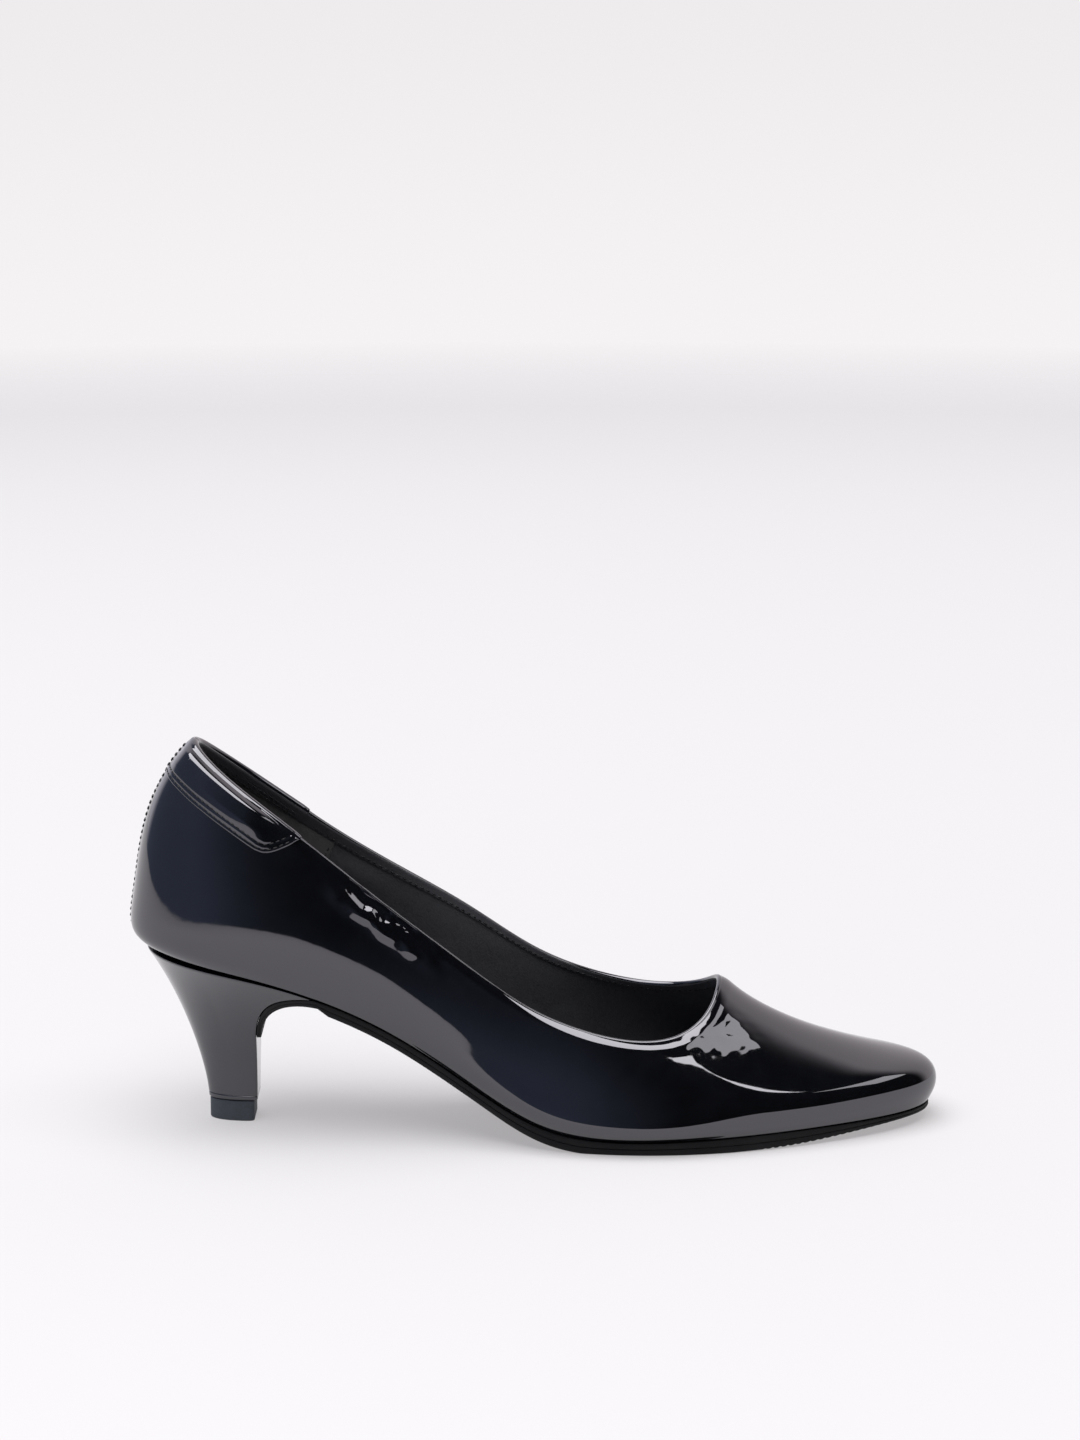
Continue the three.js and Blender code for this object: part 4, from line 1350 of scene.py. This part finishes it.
@dataclass
class Linings:
    """The lining of the vamp and quarters, and the napped grip round the heel."""

    maker: Maker
    layers: Layers
    grip_end: float = 3.34
    grip_thick: float = 0.85
    grip_spoke: float = 26.0
    behind: float = 0.02

    def sheet(
        self, u: np.ndarray, thick: Callable[[np.ndarray, np.ndarray], np.ndarray], wave: float
    ) -> Skin:
        """Makes a layer that follows the inside of the upper.

        Args:
            u: Places round the shoe.
            thick: Gives its thickness at u and v.
            wave: How uneven its face is.

        Returns:
            The layer as a closed skin.
        """
        last = self.maker.last
        v = np.concatenate([np.linspace(0.03, 5.3, 46), np.linspace(5.4, 5.78, 6)])
        grid_u, grid_v = np.meshgrid(u, v, indexing="ij")
        depth = self.layers.lining_depth(last, grid_u, grid_v) + self.behind
        hidden = last.under(grid_u, grid_v, depth)
        ripple = wave * Waviness(14.0, 30.0, seed=3).at(hidden) * smooth(grid_v, 5.5, 4.6)
        shown = last.under(grid_u, grid_v, depth + thick(grid_u, grid_v) + np.abs(ripple))
        return Skin.swept(np.concatenate([hidden, shown[:, ::-1]], axis=1))

    def grip_height(self, u: np.ndarray, v: np.ndarray) -> np.ndarray:
        """Gives the thickness of the heel grip: rounded at its ends, thinner under the turned strip.

        Args:
            u: Places round the shoe, in spokes.
            v: Places up the wall.

        Returns:
            The thickness at each place.
        """
        away = (self.grip_end - np.abs(u)) * self.grip_spoke
        ends = np.sqrt(1 - (1 - np.clip(away / 0.5, 0, 1)) ** 2)
        full = self.layers.lining + (self.grip_thick - self.layers.lining) * smooth(v, 5.35, 5.1)
        return np.maximum(full * ends, 0.05)

    def end_stitches(self, upper: Upper) -> Skin:
        """Lays a row of stitches inside each end of the heel grip.

        Args:
            upper: The upper, for its stitches.

        Returns:
            The stitches of both rows.
        """
        last = self.maker.last
        rows = []
        for side in (1, -1):
            v = np.linspace(1.6, 5.2, 300)
            u = np.full_like(v, side * (self.grip_end - 0.05))
            depth = self.layers.lining_depth(last, u, v) + self.behind + self.grip_height(u, v)
            normals = -last.normal(u, v)
            rows.append(upper.stitches(last.under(u, v, depth), normals, 2.0, 1.4))
        return Skin.joined(rows)

    def build(self, upper: Upper) -> None:
        """Builds both linings.

        Args:
            upper: The upper, for its stitches.
        """
        end = self.grip_end
        ends = np.array([0.0, 0.004, 0.01, 0.018, 0.03])
        around = np.concatenate([-end + ends, np.linspace(-end + 0.06, end - 0.06, 150), end - ends[::-1]])
        grip = self.sheet(around, self.grip_height, 0.05)
        self.maker.piece("heel_grip_napped", grip, NAPPED, "heel_grip", ["heel_grip_lining"])
        spokes = self.maker.last.spokes
        rest = np.linspace(end - 0.01, spokes - end + 0.01, 340)

        def plain(u: np.ndarray, v: np.ndarray) -> np.ndarray:
            """Gives the even thickness of the kid."""
            return np.full_like(u + v, self.layers.lining - 0.1)

        self.maker.piece("vamp_lining_kid", self.sheet(rest, plain, 0.1), LINING, "lining", ["vamp_lining"])
        self.maker.piece("stitches_heel_grip", self.end_stitches(upper), THREAD, "heel_grip")


@dataclass
class Level:
    """One line round a flat part: how far in from the side, how far on to the middle, and its height."""

    inset: float
    share: float
    height: Callable[[np.ndarray], np.ndarray]


@dataclass
class Footbed:
    """The sock lining and the foam cushions that it lies on."""

    maker: Maker
    layers: Layers
    pad_low: float = 5.2
    gap: float = 0.35

    def heel_high(self, x: np.ndarray) -> np.ndarray:
        """Gives the top of the heel cushion above the bottom."""
        return self.pad_low + 0.5 + 2.0 * smooth(x, -48, -64)

    def fore_high(self, x: np.ndarray) -> np.ndarray:
        """Gives the top of the forefoot cushion above the bottom."""
        return self.pad_low + 0.4 + 1.2 * smooth(x, -10, 2) * smooth(x, 82, 70)

    def sock_low(self, x: np.ndarray) -> np.ndarray:
        """Gives the underside of the sock above the bottom."""
        heel = self.heel_high(x) - 0.5 * smooth(x, -47, -44)
        return np.maximum(heel, self.fore_high(x)) + self.gap

    def board(self, inset: float, x: Callable[[Outline], np.ndarray], levels: Sequence[Level]) -> Skin:
        """Makes a flat part that follows the outline of the insole.

        Args:
            inset: How far in from the insole's edge the part lies.
            x: Gives its rungs from its outline.
            levels: The lines round its section, from the middle of its top to the middle of its underside.

        Returns:
            The part as a closed skin.
        """
        last = self.maker.last
        halves = []
        for side in (0, 1):
            lines = []
            for level in levels:
                shape = last.outline(lambda u: self.layers.insole_inset(last, u) + inset + level.inset)
                rungs = x(shape)
                left, right = shape.sides(rungs)
                middle = (left + right) / 2
                y = (left, right)[side]
                y = y + (middle - y) * level.share
                lines.append(np.stack([rungs, y, last.bottom(rungs) + level.height(rungs)], axis=1))
            halves.append(np.stack(lines, axis=1))
        return Skin.swept(np.concatenate([halves[0], halves[1][:, ::-1]], axis=1))

    def cushion(
        self, name: str, start: float | None, end: float, high: Callable[[np.ndarray], np.ndarray]
    ) -> None:
        """Builds a foam cushion: crowned, with soft edges, drawn in at its sides.

        Args:
            name: The node that it stands for.
            start: Where it starts, or None for the heel.
            end: Where it ends.
            high: Gives the height of its top.
        """

        def rungs(shape: Outline) -> np.ndarray:
            """Gives the rungs, closer together at the ends."""
            first = shape.heel + 0.1 if start is None else start
            return first + (end - first) * (1 - np.cos(np.linspace(0, math.pi, 70))) / 2

        def rounded(x: np.ndarray, share: float) -> np.ndarray:
            """Gives a height in the cushion, lower near its ends.

            Args:
                x: Where along the cushion.
                share: The share of its full height.

            Returns:
                The heights.
            """
            first = float(x.min())
            soft = np.sqrt(1 - (1 - np.clip(np.minimum(x - first, end - x) / 3.0 + 0.15, 0, 1)) ** 2)
            return self.pad_low + (high(x) - self.pad_low) * share * soft

        crown = (
            (0.0, 0.94, 1.0), (0.0, 0.6, 0.98), (0.0, 0.3, 0.92), (1.6, 0.0, 0.84), (0.7, 0.0, 0.68),
            (0.3, 0.0, 0.4), (0.5, 0.0, 0.12), (1.2, 0.0, 0.0), (0.0, 0.5, 0.0), (0.0, 0.94, 0.0),
        )
        levels = [Level(inset, share, partial(rounded, share=rise)) for inset, share, rise in crown]
        made = self.maker.piece(f"{name}_foam", self.board(1.6, rungs, levels), FOAM, "foam", [name])

    def build(self) -> None:
        """Builds the cushions and the sock."""
        self.cushion("heel_cushion", None, -46.0, self.heel_high)
        self.cushion("forefoot_cushion", -12.0, 84.0, self.fore_high)

        def rungs(shape: Outline) -> np.ndarray:
            """Gives the rungs of the sock.

            Args:
                shape: Its outline.

            Returns:
                The rungs.
            """
            ends = 1 - np.cos(np.linspace(0, math.pi / 2, 14))
            first, last = shape.heel + 0.05, shape.toe - 0.05
            middle = np.linspace(first + 8, last - 8, 130)[1:-1]
            return np.concatenate([first + 8 * ends, middle, (last - 8 * ends)[::-1]])

        top = self.layers.sock

        def high(rise: float) -> Callable[[np.ndarray], np.ndarray]:
            """Gives a height that far above the underside of the sock."""
            return lambda x: self.sock_low(x) + rise

        edge = (
            (0.0, 0.96, top - 0.1), (0.0, 0.7, top - 0.09), (0.0, 0.4, top - 0.05), (1.5, 0.0, top),
            (0.5, 0.0, top), (0.15, 0.0, top - 0.08), (0.0, 0.0, top - 0.3), (0.0, 0.0, 0.1),
            (0.1, 0.0, 0.0), (0.0, 0.5, 0.0), (0.0, 0.96, 0.0),
        )
        levels = [Level(inset, share, high(rise)) for inset, share, rise in edge]
        sock = self.board(0.2, rungs, levels)
        self.maker.piece("sock_lining_kid", sock, LINING, "lining", ["sock_lining"])


# ---------------------------------------------------------------- heel and sole


@dataclass
class Heel:
    """The covered heel block and its top piece."""

    maker: Maker
    tip_z: float = 6.8
    tip_centre: float = -88.0
    tip_length: float = 12.6
    tip_half_width: float = 6.4
    tip_breast: float = -85.25
    seat_inset: float = -0.2
    tip_turn: float = math.radians(33)
    seat_gap: float = 0.3
    groove_at_back: float = 1.1
    corner: float = 0.8
    block_high: float = 50.0
    tip_line: float = 1.45
    seat_round: float = 0.9
    top_piece_inset: float = 0.35
    top_piece_back: float = 1.0
    breast_gap: float = 0.25
    breast: tuple[tuple[float, float], ...] = ((-66.0, 0.0), (-76.0, 44.2), (-84.3, 42.5), (-84.85, 28.5))
    ends: dict[int, np.ndarray] = field(default_factory=dict)

    def breast_line(self) -> np.ndarray:
        """Gives the breast of the heel from the waist down to the tip, as x and z."""
        curve = self.breast_curve(np.linspace(0, 1, 400))
        return np.concatenate([curve, [[self.tip_breast, self.tip_z - 2]]])

    def breast_curve(self, share: np.ndarray) -> np.ndarray:
        """Gives the curved part of the breast, as x and z at each share of the way down."""
        x = self.breast[0][0]
        start = (x, float(self.maker.last.bottom(x)) - self.breast_gap)
        return bezier((start, *self.breast[1:]), share)

    def side(self, u: np.ndarray, t: np.ndarray) -> np.ndarray:
        """Gives points of the heel's side.

        Args:
            u: The spoke of the seat above, below zero on the inner side.
            t: From the tip (0) to the seat (1).

        Returns:
            The points.
        """
        last = self.maker.last
        turn = np.abs(u) * self.tip_turn
        way = np.where(u < 0, -1.0, 1.0)
        tip_x = self.tip_centre - self.tip_length * np.cos(turn)
        tip_y = -way * self.tip_half_width * np.sin(turn)
        seat = last.on_bottom(np.mod(u, last.spokes), self.seat_inset, 0.0)
        drop = self.seat_gap + self.groove_at_back * smooth(seat[..., 0], -62, -112)
        power = 1.5 + 0.3 * np.minimum(np.abs(u), 2)
        flare = t**power
        return np.stack(
            [
                tip_x + (seat[..., 0] - tip_x) * flare,
                tip_y + (seat[..., 1] - tip_y) * flare,
                self.tip_z + (seat[..., 2] - drop - self.tip_z) * t,
            ],
            axis=-1,
        )

    def half(self, side: int, levels: np.ndarray) -> np.ndarray:
        """Gives half of each section, from the middle of the breast round to the back.

        Args:
            side: 1 for the outer side, -1 for the inner.
            levels: From the tip (0) to the seat (1).

        Returns:
            The points, by level and round the section.
        """
        line = self.breast_line()
        order = np.argsort(line[:, 1])
        low, high = np.full_like(levels, 0.6), np.full_like(levels, 4.4)
        for _ in range(40):
            middle = (low + high) / 2
            spot = self.side(side * middle, levels)
            front = spot[:, 0] > np.interp(spot[:, 2], line[order, 1], line[order, 0])
            high, low = np.where(front, middle, high), np.where(front, low, middle)
        end = self.side(side * low, levels)
        self.ends[side] = end
        step = np.linalg.norm(end - self.side(side * (low - 0.02), levels), axis=1) / 0.02
        start = low - self.corner / step
        share = np.linspace(0, 1, 46) ** 0.85
        u = start[:, None] + (0.02 - start)[:, None] * share[None]
        around = self.side(side * u, spread(levels, u))
        face = end.copy()
        face[:, 1] -= np.sign(end[:, 1]) * self.corner
        bend = np.linspace(0, 1, 7)[1:-1][None, :, None]
        curve = bent(face[:, None], end[:, None], around[:, :1], bend)
        across = np.linspace(0.04, 1.0, 7)[None, :, None]
        centre = face.copy()
        centre[:, 1] = 0.0
        flat = centre[:, None] + (face - centre)[:, None] * across
        return np.concatenate([flat, curve, around], axis=1)

    def build_block(self) -> bpy.types.Object:
        """Builds the heel block, with a thin rim at its foot and a rounded top edge.

        Returns:
            The piece.
        """
        levels = np.concatenate(
            [
                [0.0, 0.002, 0.005, 0.01, 0.018, 0.024, 0.0265, 0.029, 0.0315, 0.034, 0.04],
                np.linspace(0.055, 0.965, 56),
                [0.974, 0.981, 0.987, 0.992, 0.996, 1.0],
            ]
        )
        sections = np.concatenate([self.half(1, levels), self.half(-1, levels)[:, ::-1]], axis=1)
        rise = levels * self.block_high
        inset = 0.22 * np.clip(1 - rise / 0.3, 0, 1) ** 2
        inset = inset + 0.16 * bell(rise, self.tip_line, 0.12)
        top = np.clip((rise - self.block_high + self.seat_round) / self.seat_round, 0, 1)
        inset = inset + 0.7 * (1 - np.sqrt(1 - top**2))
        middle = sections.mean(axis=1, keepdims=True)
        away = sections - middle
        away[..., 2] = 0.0
        reach = np.maximum(np.linalg.norm(away, axis=-1, keepdims=True), 1e-6)
        sections = sections - away / reach * inset[:, None, None]
        return self.maker.piece(
            "heel_block_lacquered", Skin.swept(sections), LACQUER, "heel_shell", ["heel_block"], crease=50
        )

    def build_top_piece(self) -> bpy.types.Object:
        """Builds the top piece: a D in plan, with rounded edges.

        Returns:
            The piece.
        """
        profile = [
            (0.0, 0.55), (0.06, 0.3), (0.2, 0.12), (0.45, 0.02), (0.8, 0.0), (2.0, 0.0),
            (3.4, 0.0), (4.8, 0.0), (6.1, 0.0), (6.35, 0.06), (6.5, 0.25),
        ]
        breast = self.tip_breast - self.top_piece_back
        halves = []
        for side in (1, -1):
            rings = []
            for _, inset in profile:
                length = self.tip_length - self.top_piece_inset - inset
                width = self.tip_half_width - self.top_piece_inset - inset
                stop = math.acos((self.tip_centre - breast + inset) / length)
                turn = np.linspace(stop - self.corner / width, 0.02, 40)
                x, y = self.tip_centre - length * np.cos(turn), -side * width * np.sin(turn)
                around = np.stack([x, y], axis=1)
                edge = np.array([breast - inset, -side * width * math.sin(stop)])
                face = edge + np.array([0.0, side * self.corner])
                bend = np.linspace(0, 1, 7)[1:-1][:, None]
                curve = bent(face, edge, around[0], bend)
                flat = np.stack([np.full(6, breast - inset), face[1] * np.linspace(0.05, 1, 6)], axis=1)
                rings.append(np.concatenate([flat, curve, around]))
            halves.append(np.array(rings))
        flat_sections = np.concatenate([halves[0], halves[1][:, ::-1]], axis=1)
        heights = np.array([z for z, _ in profile])[:, None, None]
        tall = np.broadcast_to(heights, flat_sections.shape[:2] + (1,))
        sections = np.concatenate([flat_sections, tall], axis=2)
        return self.maker.piece(
            "top_piece_rubber", Skin.swept(sections), RUBBER, "top_piece", ["top_piece"], crease=50
        )

    def build(self) -> None:
        """Builds the block and the top piece."""
        self.build_block()
        self.build_top_piece()


@dataclass
class Sole:
    """The outsole, which runs over the waist and down the breast of the heel as a flap."""

    maker: Maker
    heel: Heel
    welt: float = 0.1
    gap: float = 0.25
    breast_start: float = -62.0
    rib_pitch: float = 2.3
    rib_depth: float = 0.4
    waist_thick: float = 3.3
    tread_extra: float = 1.3
    toe_thinner: float = 2.8
    flap: tuple[tuple[float, float], ...] = ((-64.5, 41.6), (-73.0, 43.0), (-82.4, 40.5), (-83.35, 28.5))
    # How far in from the side, how far towards the middle, and how far down from the top of the sole.
    profile: tuple[tuple[float, float, float], ...] = (
        (2.5, 0.9, 0.0), (2.5, 0.4, 0.0), (2.5, 0.0, 0.0), (0.35, 0.0, 0.0), (0.08, 0.0, 0.05),
        (0.0, 0.0, 0.14), (0.0, 0.0, 0.38),
        (0.05, 0.0, 0.43), (0.24, 0.0, 0.45), (0.24, 0.0, 0.5), (0.05, 0.0, 0.52),
        (0.0, 0.0, 0.57), (0.0, 0.0, 0.75), (0.12, 0.0, 0.88), (0.45, 0.0, 0.97), (1.0, 0.0, 1.0),
        (2.5, 0.0, 1.0), (2.5, 0.25, 1.0), (2.5, 0.5, 1.0), (2.5, 0.75, 1.0), (2.5, 0.95, 1.0),
    )

    def top(self, x: np.ndarray) -> np.ndarray:
        """Gives the height of the sole's upper face."""
        return self.maker.last.bottom(x) - self.gap

    def under(self, x: np.ndarray) -> np.ndarray:
        """Gives the height of the tread.

        Args:
            x: Where along the shoe.

        Returns:
            The heights.
        """
        thick = self.waist_thick + self.tread_extra * smooth(x, -20, 10)
        thick = thick - self.toe_thinner * smooth(x, 70, 118)
        slope = self.maker.last.bottom(x + 0.5) - self.maker.last.bottom(x - 0.5)
        return np.maximum(0.0, self.top(x) - thick * np.hypot(1, slope))

    def ribs(self, x: np.ndarray) -> np.ndarray:
        """Gives how far the tread is cut in by the fine ribs across the toe."""
        wave = 0.5 + 0.5 * np.cos(x * (2 * math.pi / self.rib_pitch))
        return self.rib_depth * wave**3 * smooth(x, 66, 72) * smooth(x, 115, 110)

    def rungs(self, toe: float) -> np.ndarray:
        """Gives the rungs from the waist to the toe.

        Args:
            toe: Where the sole ends.

        Returns:
            The rungs.
        """
        round_end = toe - 9.0 * (1 - np.sin(np.linspace(0, math.pi / 2, 20)))
        return np.concatenate(
            [np.linspace(self.breast_start, 64, 96), np.linspace(64.4, toe - 9.4, 118), round_end]
        )

    def forepart(self) -> list[np.ndarray]:
        """Gives the sections from the toe back to the waist, one half for each side.

        Returns:
            The outer and the inner halves.
        """
        halves = []
        last = self.maker.last
        for side in (0, 1):
            lines = []
            for inset, share, down in self.profile:
                shape = last.outline(lambda u: np.full_like(u, inset - self.welt))
                x = self.rungs(shape.toe - 0.02)
                left, right = shape.sides(x)
                narrow = (self.welt + self.heel.seat_inset) * smooth(x, -50, self.breast_start)
                left, right = left + narrow, right - narrow
                middle = (left + right) / 2
                y = (left, right)[side]
                y = y + (middle - y) * share
                high, low = self.top(x), self.under(x) + self.ribs(x) * (down > 0.9)
                lines.append(np.stack([x, y, high + (low - high) * down], axis=1))
            halves.append(np.stack(lines, axis=1)[::-1])
        return halves

    def flap_part(self) -> list[np.ndarray]:
        """Gives the sections of the flap, from the waist down the breast.

        Returns:
            The outer and the inner halves.
        """
        share = np.linspace(0.02, 1.0, 46)
        back = self.heel.breast_curve(share)
        front = bezier(self.flap, share)
        back[:, 0] += 0.12
        halves = []
        for side in (1, -1):
            ends = self.heel.ends[side]
            order = np.argsort(ends[:, 2])
            y = np.interp(back[:, 1], ends[order, 2], ends[order, 1])
            lines = []
            for inset, towards, down in self.profile:
                spot = back + (front - back) * down
                across = y + side * inset * 0.7
                across = across * (1 - towards)
                lines.append(np.stack([spot[:, 0], across, spot[:, 1]], axis=1))
            halves.append(np.stack(lines, axis=1))
        return halves

    def build(self) -> None:
        """Builds the outsole."""
        fore, flap = self.forepart(), self.flap_part()
        outer = np.concatenate([fore[0], flap[0]])
        inner = np.concatenate([fore[1], flap[1]])
        sections = np.concatenate([outer, inner[:, ::-1]], axis=1)
        self.maker.piece("outsole_satin", Skin.swept(sections), SOLE, "outsole", ["outsole"], crease=38)


# ---------------------------------------------------------------- what stays as it is


class Kept(Enum):
    """The nodes whose shapes stay, each with its finish."""

    BACK_SEAM_TAPE = ("back_seam_tape", TAPE)
    TOPLINE_TAPE = ("topline_tape", TAPE)
    HEEL_COUNTER = ("heel_counter", STIFFENER)
    TOE_PUFF = ("toe_puff", STIFFENER)
    INSOLE_BOARD = ("insole_board", BOARD)
    FOREPART_FILLER = ("forepart_filler", BOARD)
    STEEL_SHANK = ("steel_shank", STEEL)
    REAR_RIVET = ("shank_rivet_rear", STEEL)
    FRONT_RIVET = ("shank_rivet_front", STEEL)
    HEEL_TUBE = ("heel_tube", STEEL)
    TOP_PIECE_PIN = ("top_piece_pin", STEEL)
    HEEL_SCREW = ("heel_screw", STEEL)
    HEEL_NAIL_1 = ("heel_nail_1", STEEL)
    HEEL_NAIL_2 = ("heel_nail_2", STEEL)
    HEEL_NAIL_3 = ("heel_nail_3", STEEL)
    HEEL_NAIL_4 = ("heel_nail_4", STEEL)

    def dress(self) -> None:
        """Gives the node its finish."""
        name, finish = self.value
        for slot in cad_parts[name].material_slots:
            slot.material = finish.build()
        LOG.info("%s keeps its shape, in %s", name, finish.name)


# ---------------------------------------------------------------- the studio


@dataclass
class Studio:
    """The pale floor, the soft light and the camera."""

    aim: tuple[float, float, float] = (0.00115, 0.00115, 0.1247)
    distance: float = 1.063
    elevation: float = math.radians(11.5)
    lens: float = 87.96
    pale: Colour = (0.925, 0.9, 0.915)
    floor_radius: float = 2.6
    floor_steps: int = 96
    floor_paint: Colour = (0.9, 0.885, 0.895)
    floor_share: float = 0.34
    floor_even: tuple[float, ...] = (-0.3, 1.6, 0.6, 1.04)
    floor_fade: tuple[float, float] = (0.75, 0.98)
    wall_colour: Colour = (1.0, 0.94, 0.97)
    wall_strength: float = 0.85
    wall_dark: float = 0.012
    sky_colour: Colour = (0.56, 0.68, 1.0)
    sky_strength: float = 0.27

    def floor(self) -> None:
        """Lays a pale floor that fades out at its rim."""
        turn = np.linspace(0, 2 * math.pi, self.floor_steps, endpoint=False)
        rim = [(self.floor_radius * math.cos(a), self.floor_radius * math.sin(a), 0.0) for a in turn]
        mesh = bpy.data.meshes.new("floor")
        mesh.from_pydata(rim, [], [tuple(range(self.floor_steps))])
        material = bpy.data.materials.new("pale_floor")
        material.use_nodes = True
        material.node_tree.nodes.clear()
        nodes = Nodes(material.node_tree)
        place = nodes.add("TexCoord").outputs["Object"]
        away = nodes.add("VectorMath", {0: place}, operation="LENGTH").outputs["Value"]
        even = nodes.eased(away, *self.floor_even)
        glow = nodes.add("Emission", {"Color": (*self.pale, 1.0), "Strength": even})
        paint = nodes.add("BsdfDiffuse", {"Color": (*self.floor_paint, 1.0)})
        near, far = (self.floor_radius * share for share in self.floor_fade)
        span = nodes.add("MapRange", {"Value": away, "From Min": near, "From Max": far})
        mix = nodes.add("MixShader", {"Fac": self.floor_share, 1: glow.outputs[0], 2: paint.outputs[0]})
        clear = nodes.add("BsdfTransparent")
        fade = {"Fac": span.outputs["Result"], 1: mix.outputs[0], 2: clear.outputs[0]}
        nodes.add("OutputMaterial", {"Surface": nodes.add("MixShader", fade).outputs[0]})
        mesh.materials.append(material)
        made = bpy.data.objects.new("floor", mesh)
        bpy.context.scene.collection.objects.link(made)

    def room(self) -> None:
        """Makes the room: pale where it is seen, and light or dark where it is mirrored."""
        world = bpy.data.worlds.new("room")
        bpy.context.scene.world = world
        world.use_nodes = True
        world.node_tree.nodes.clear()
        nodes = Nodes(world.node_tree)
        place = nodes.add("TexCoord").outputs["Generated"]
        x, y, z = nodes.add("SeparateXYZ", {0: place}).outputs
        across = nodes.sum("ADD", y, nodes.sum("MULTIPLY", x, 0.2))
        under_top = nodes.sum("SUBTRACT", 1.0, nodes.eased(z, 0.76, 0.88))
        wall = nodes.sum("MULTIPLY", nodes.eased(across, 0.3, 0.62), under_top)
        bright = nodes.sum("ADD", nodes.sum("MULTIPLY", wall, self.wall_strength), self.wall_dark)
        left = nodes.eased(nodes.sum("MULTIPLY", x, -1.0), -0.35, 0.6)
        shade = nodes.sum("SUBTRACT", 0.99, nodes.sum("MULTIPLY", nodes.eased(z, -0.1, 0.02), 0.065))
        pale, cool, seen = (
            nodes.add("Background", {"Color": (*colour, 1.0), "Strength": strength}).outputs[0]
            for colour, strength in (
                (self.wall_colour, bright),
                (self.sky_colour, nodes.sum("MULTIPLY", left, self.sky_strength)),
                (self.pale, shade),
            )
        )
        mirrored = nodes.add("AddShader", {0: pale, 1: cool}).outputs[0]
        camera_ray = nodes.add("LightPath").outputs["Is Camera Ray"]
        mix = nodes.add("MixShader", {"Fac": camera_ray, 1: mirrored, 2: seen})
        nodes.add("OutputWorld", {"Surface": mix.outputs[0]})

    def lamp(
        self, name: str, where: tuple[float, float, float], size: tuple[float, float], energy: float
    ) -> None:
        """Hangs a soft box that faces the shoe.

        Args:
            name: Its name.
            where: Its place, in metres.
            size: Its width and height, in metres.
            energy: Its power, in watts.
        """
        data = bpy.data.lights.new(name, "AREA")
        data.shape = "RECTANGLE"
        data.size, data.size_y = size
        data.energy = energy
        made = bpy.data.objects.new(name, data)
        made.location = where
        made.rotation_euler = (Vector((0, 0, 0.05)) - Vector(where)).to_track_quat("-Z", "Y").to_euler()
        bpy.context.scene.collection.objects.link(made)

    def camera(self) -> None:
        """Places the camera in front of the outer side, a little above."""
        data = bpy.data.cameras.new("camera")
        data.lens = self.lens
        data.sensor_width = 36.0
        data.sensor_fit = "AUTO"
        data.clip_end = 50.0
        made = bpy.data.objects.new("camera", data)
        aim = Vector(self.aim)
        back = Vector((0.0, -math.cos(self.elevation), math.sin(self.elevation)))
        made.location = aim + back * self.distance
        made.rotation_euler = (-back).to_track_quat("-Z", "Y").to_euler()
        bpy.context.scene.collection.objects.link(made)
        bpy.context.scene.camera = made

    def build(self) -> None:
        """Builds the studio."""
        self.camera()
        self.floor()
        self.room()
        self.lamp("soft_box_over", (-0.178, -0.178, 1.428), (1.7, 1.6), 44.0)
        self.lamp("soft_box_right", (1.06, 0.0, 1.2), (0.65, 0.365), 1.7)
        bpy.context.scene.view_settings.view_transform = "Standard"


# ---------------------------------------------------------------- the shoe


def main() -> None:
    """Builds the studio and the shoe."""
    logging.basicConfig(level=logging.INFO, format="%(message)s")
    last, layers = Last(), Layers()
    maker = Maker(last)
    Studio().build()
    upper = Upper(maker, layers)
    upper.build()
    Linings(maker, layers).build(upper)
    Footbed(maker, layers).build()
    heel = Heel(maker)
    heel.build()
    Sole(maker, heel).build()
    for node in Kept:
        node.dress()


if __name__ == "__main__":
    main()
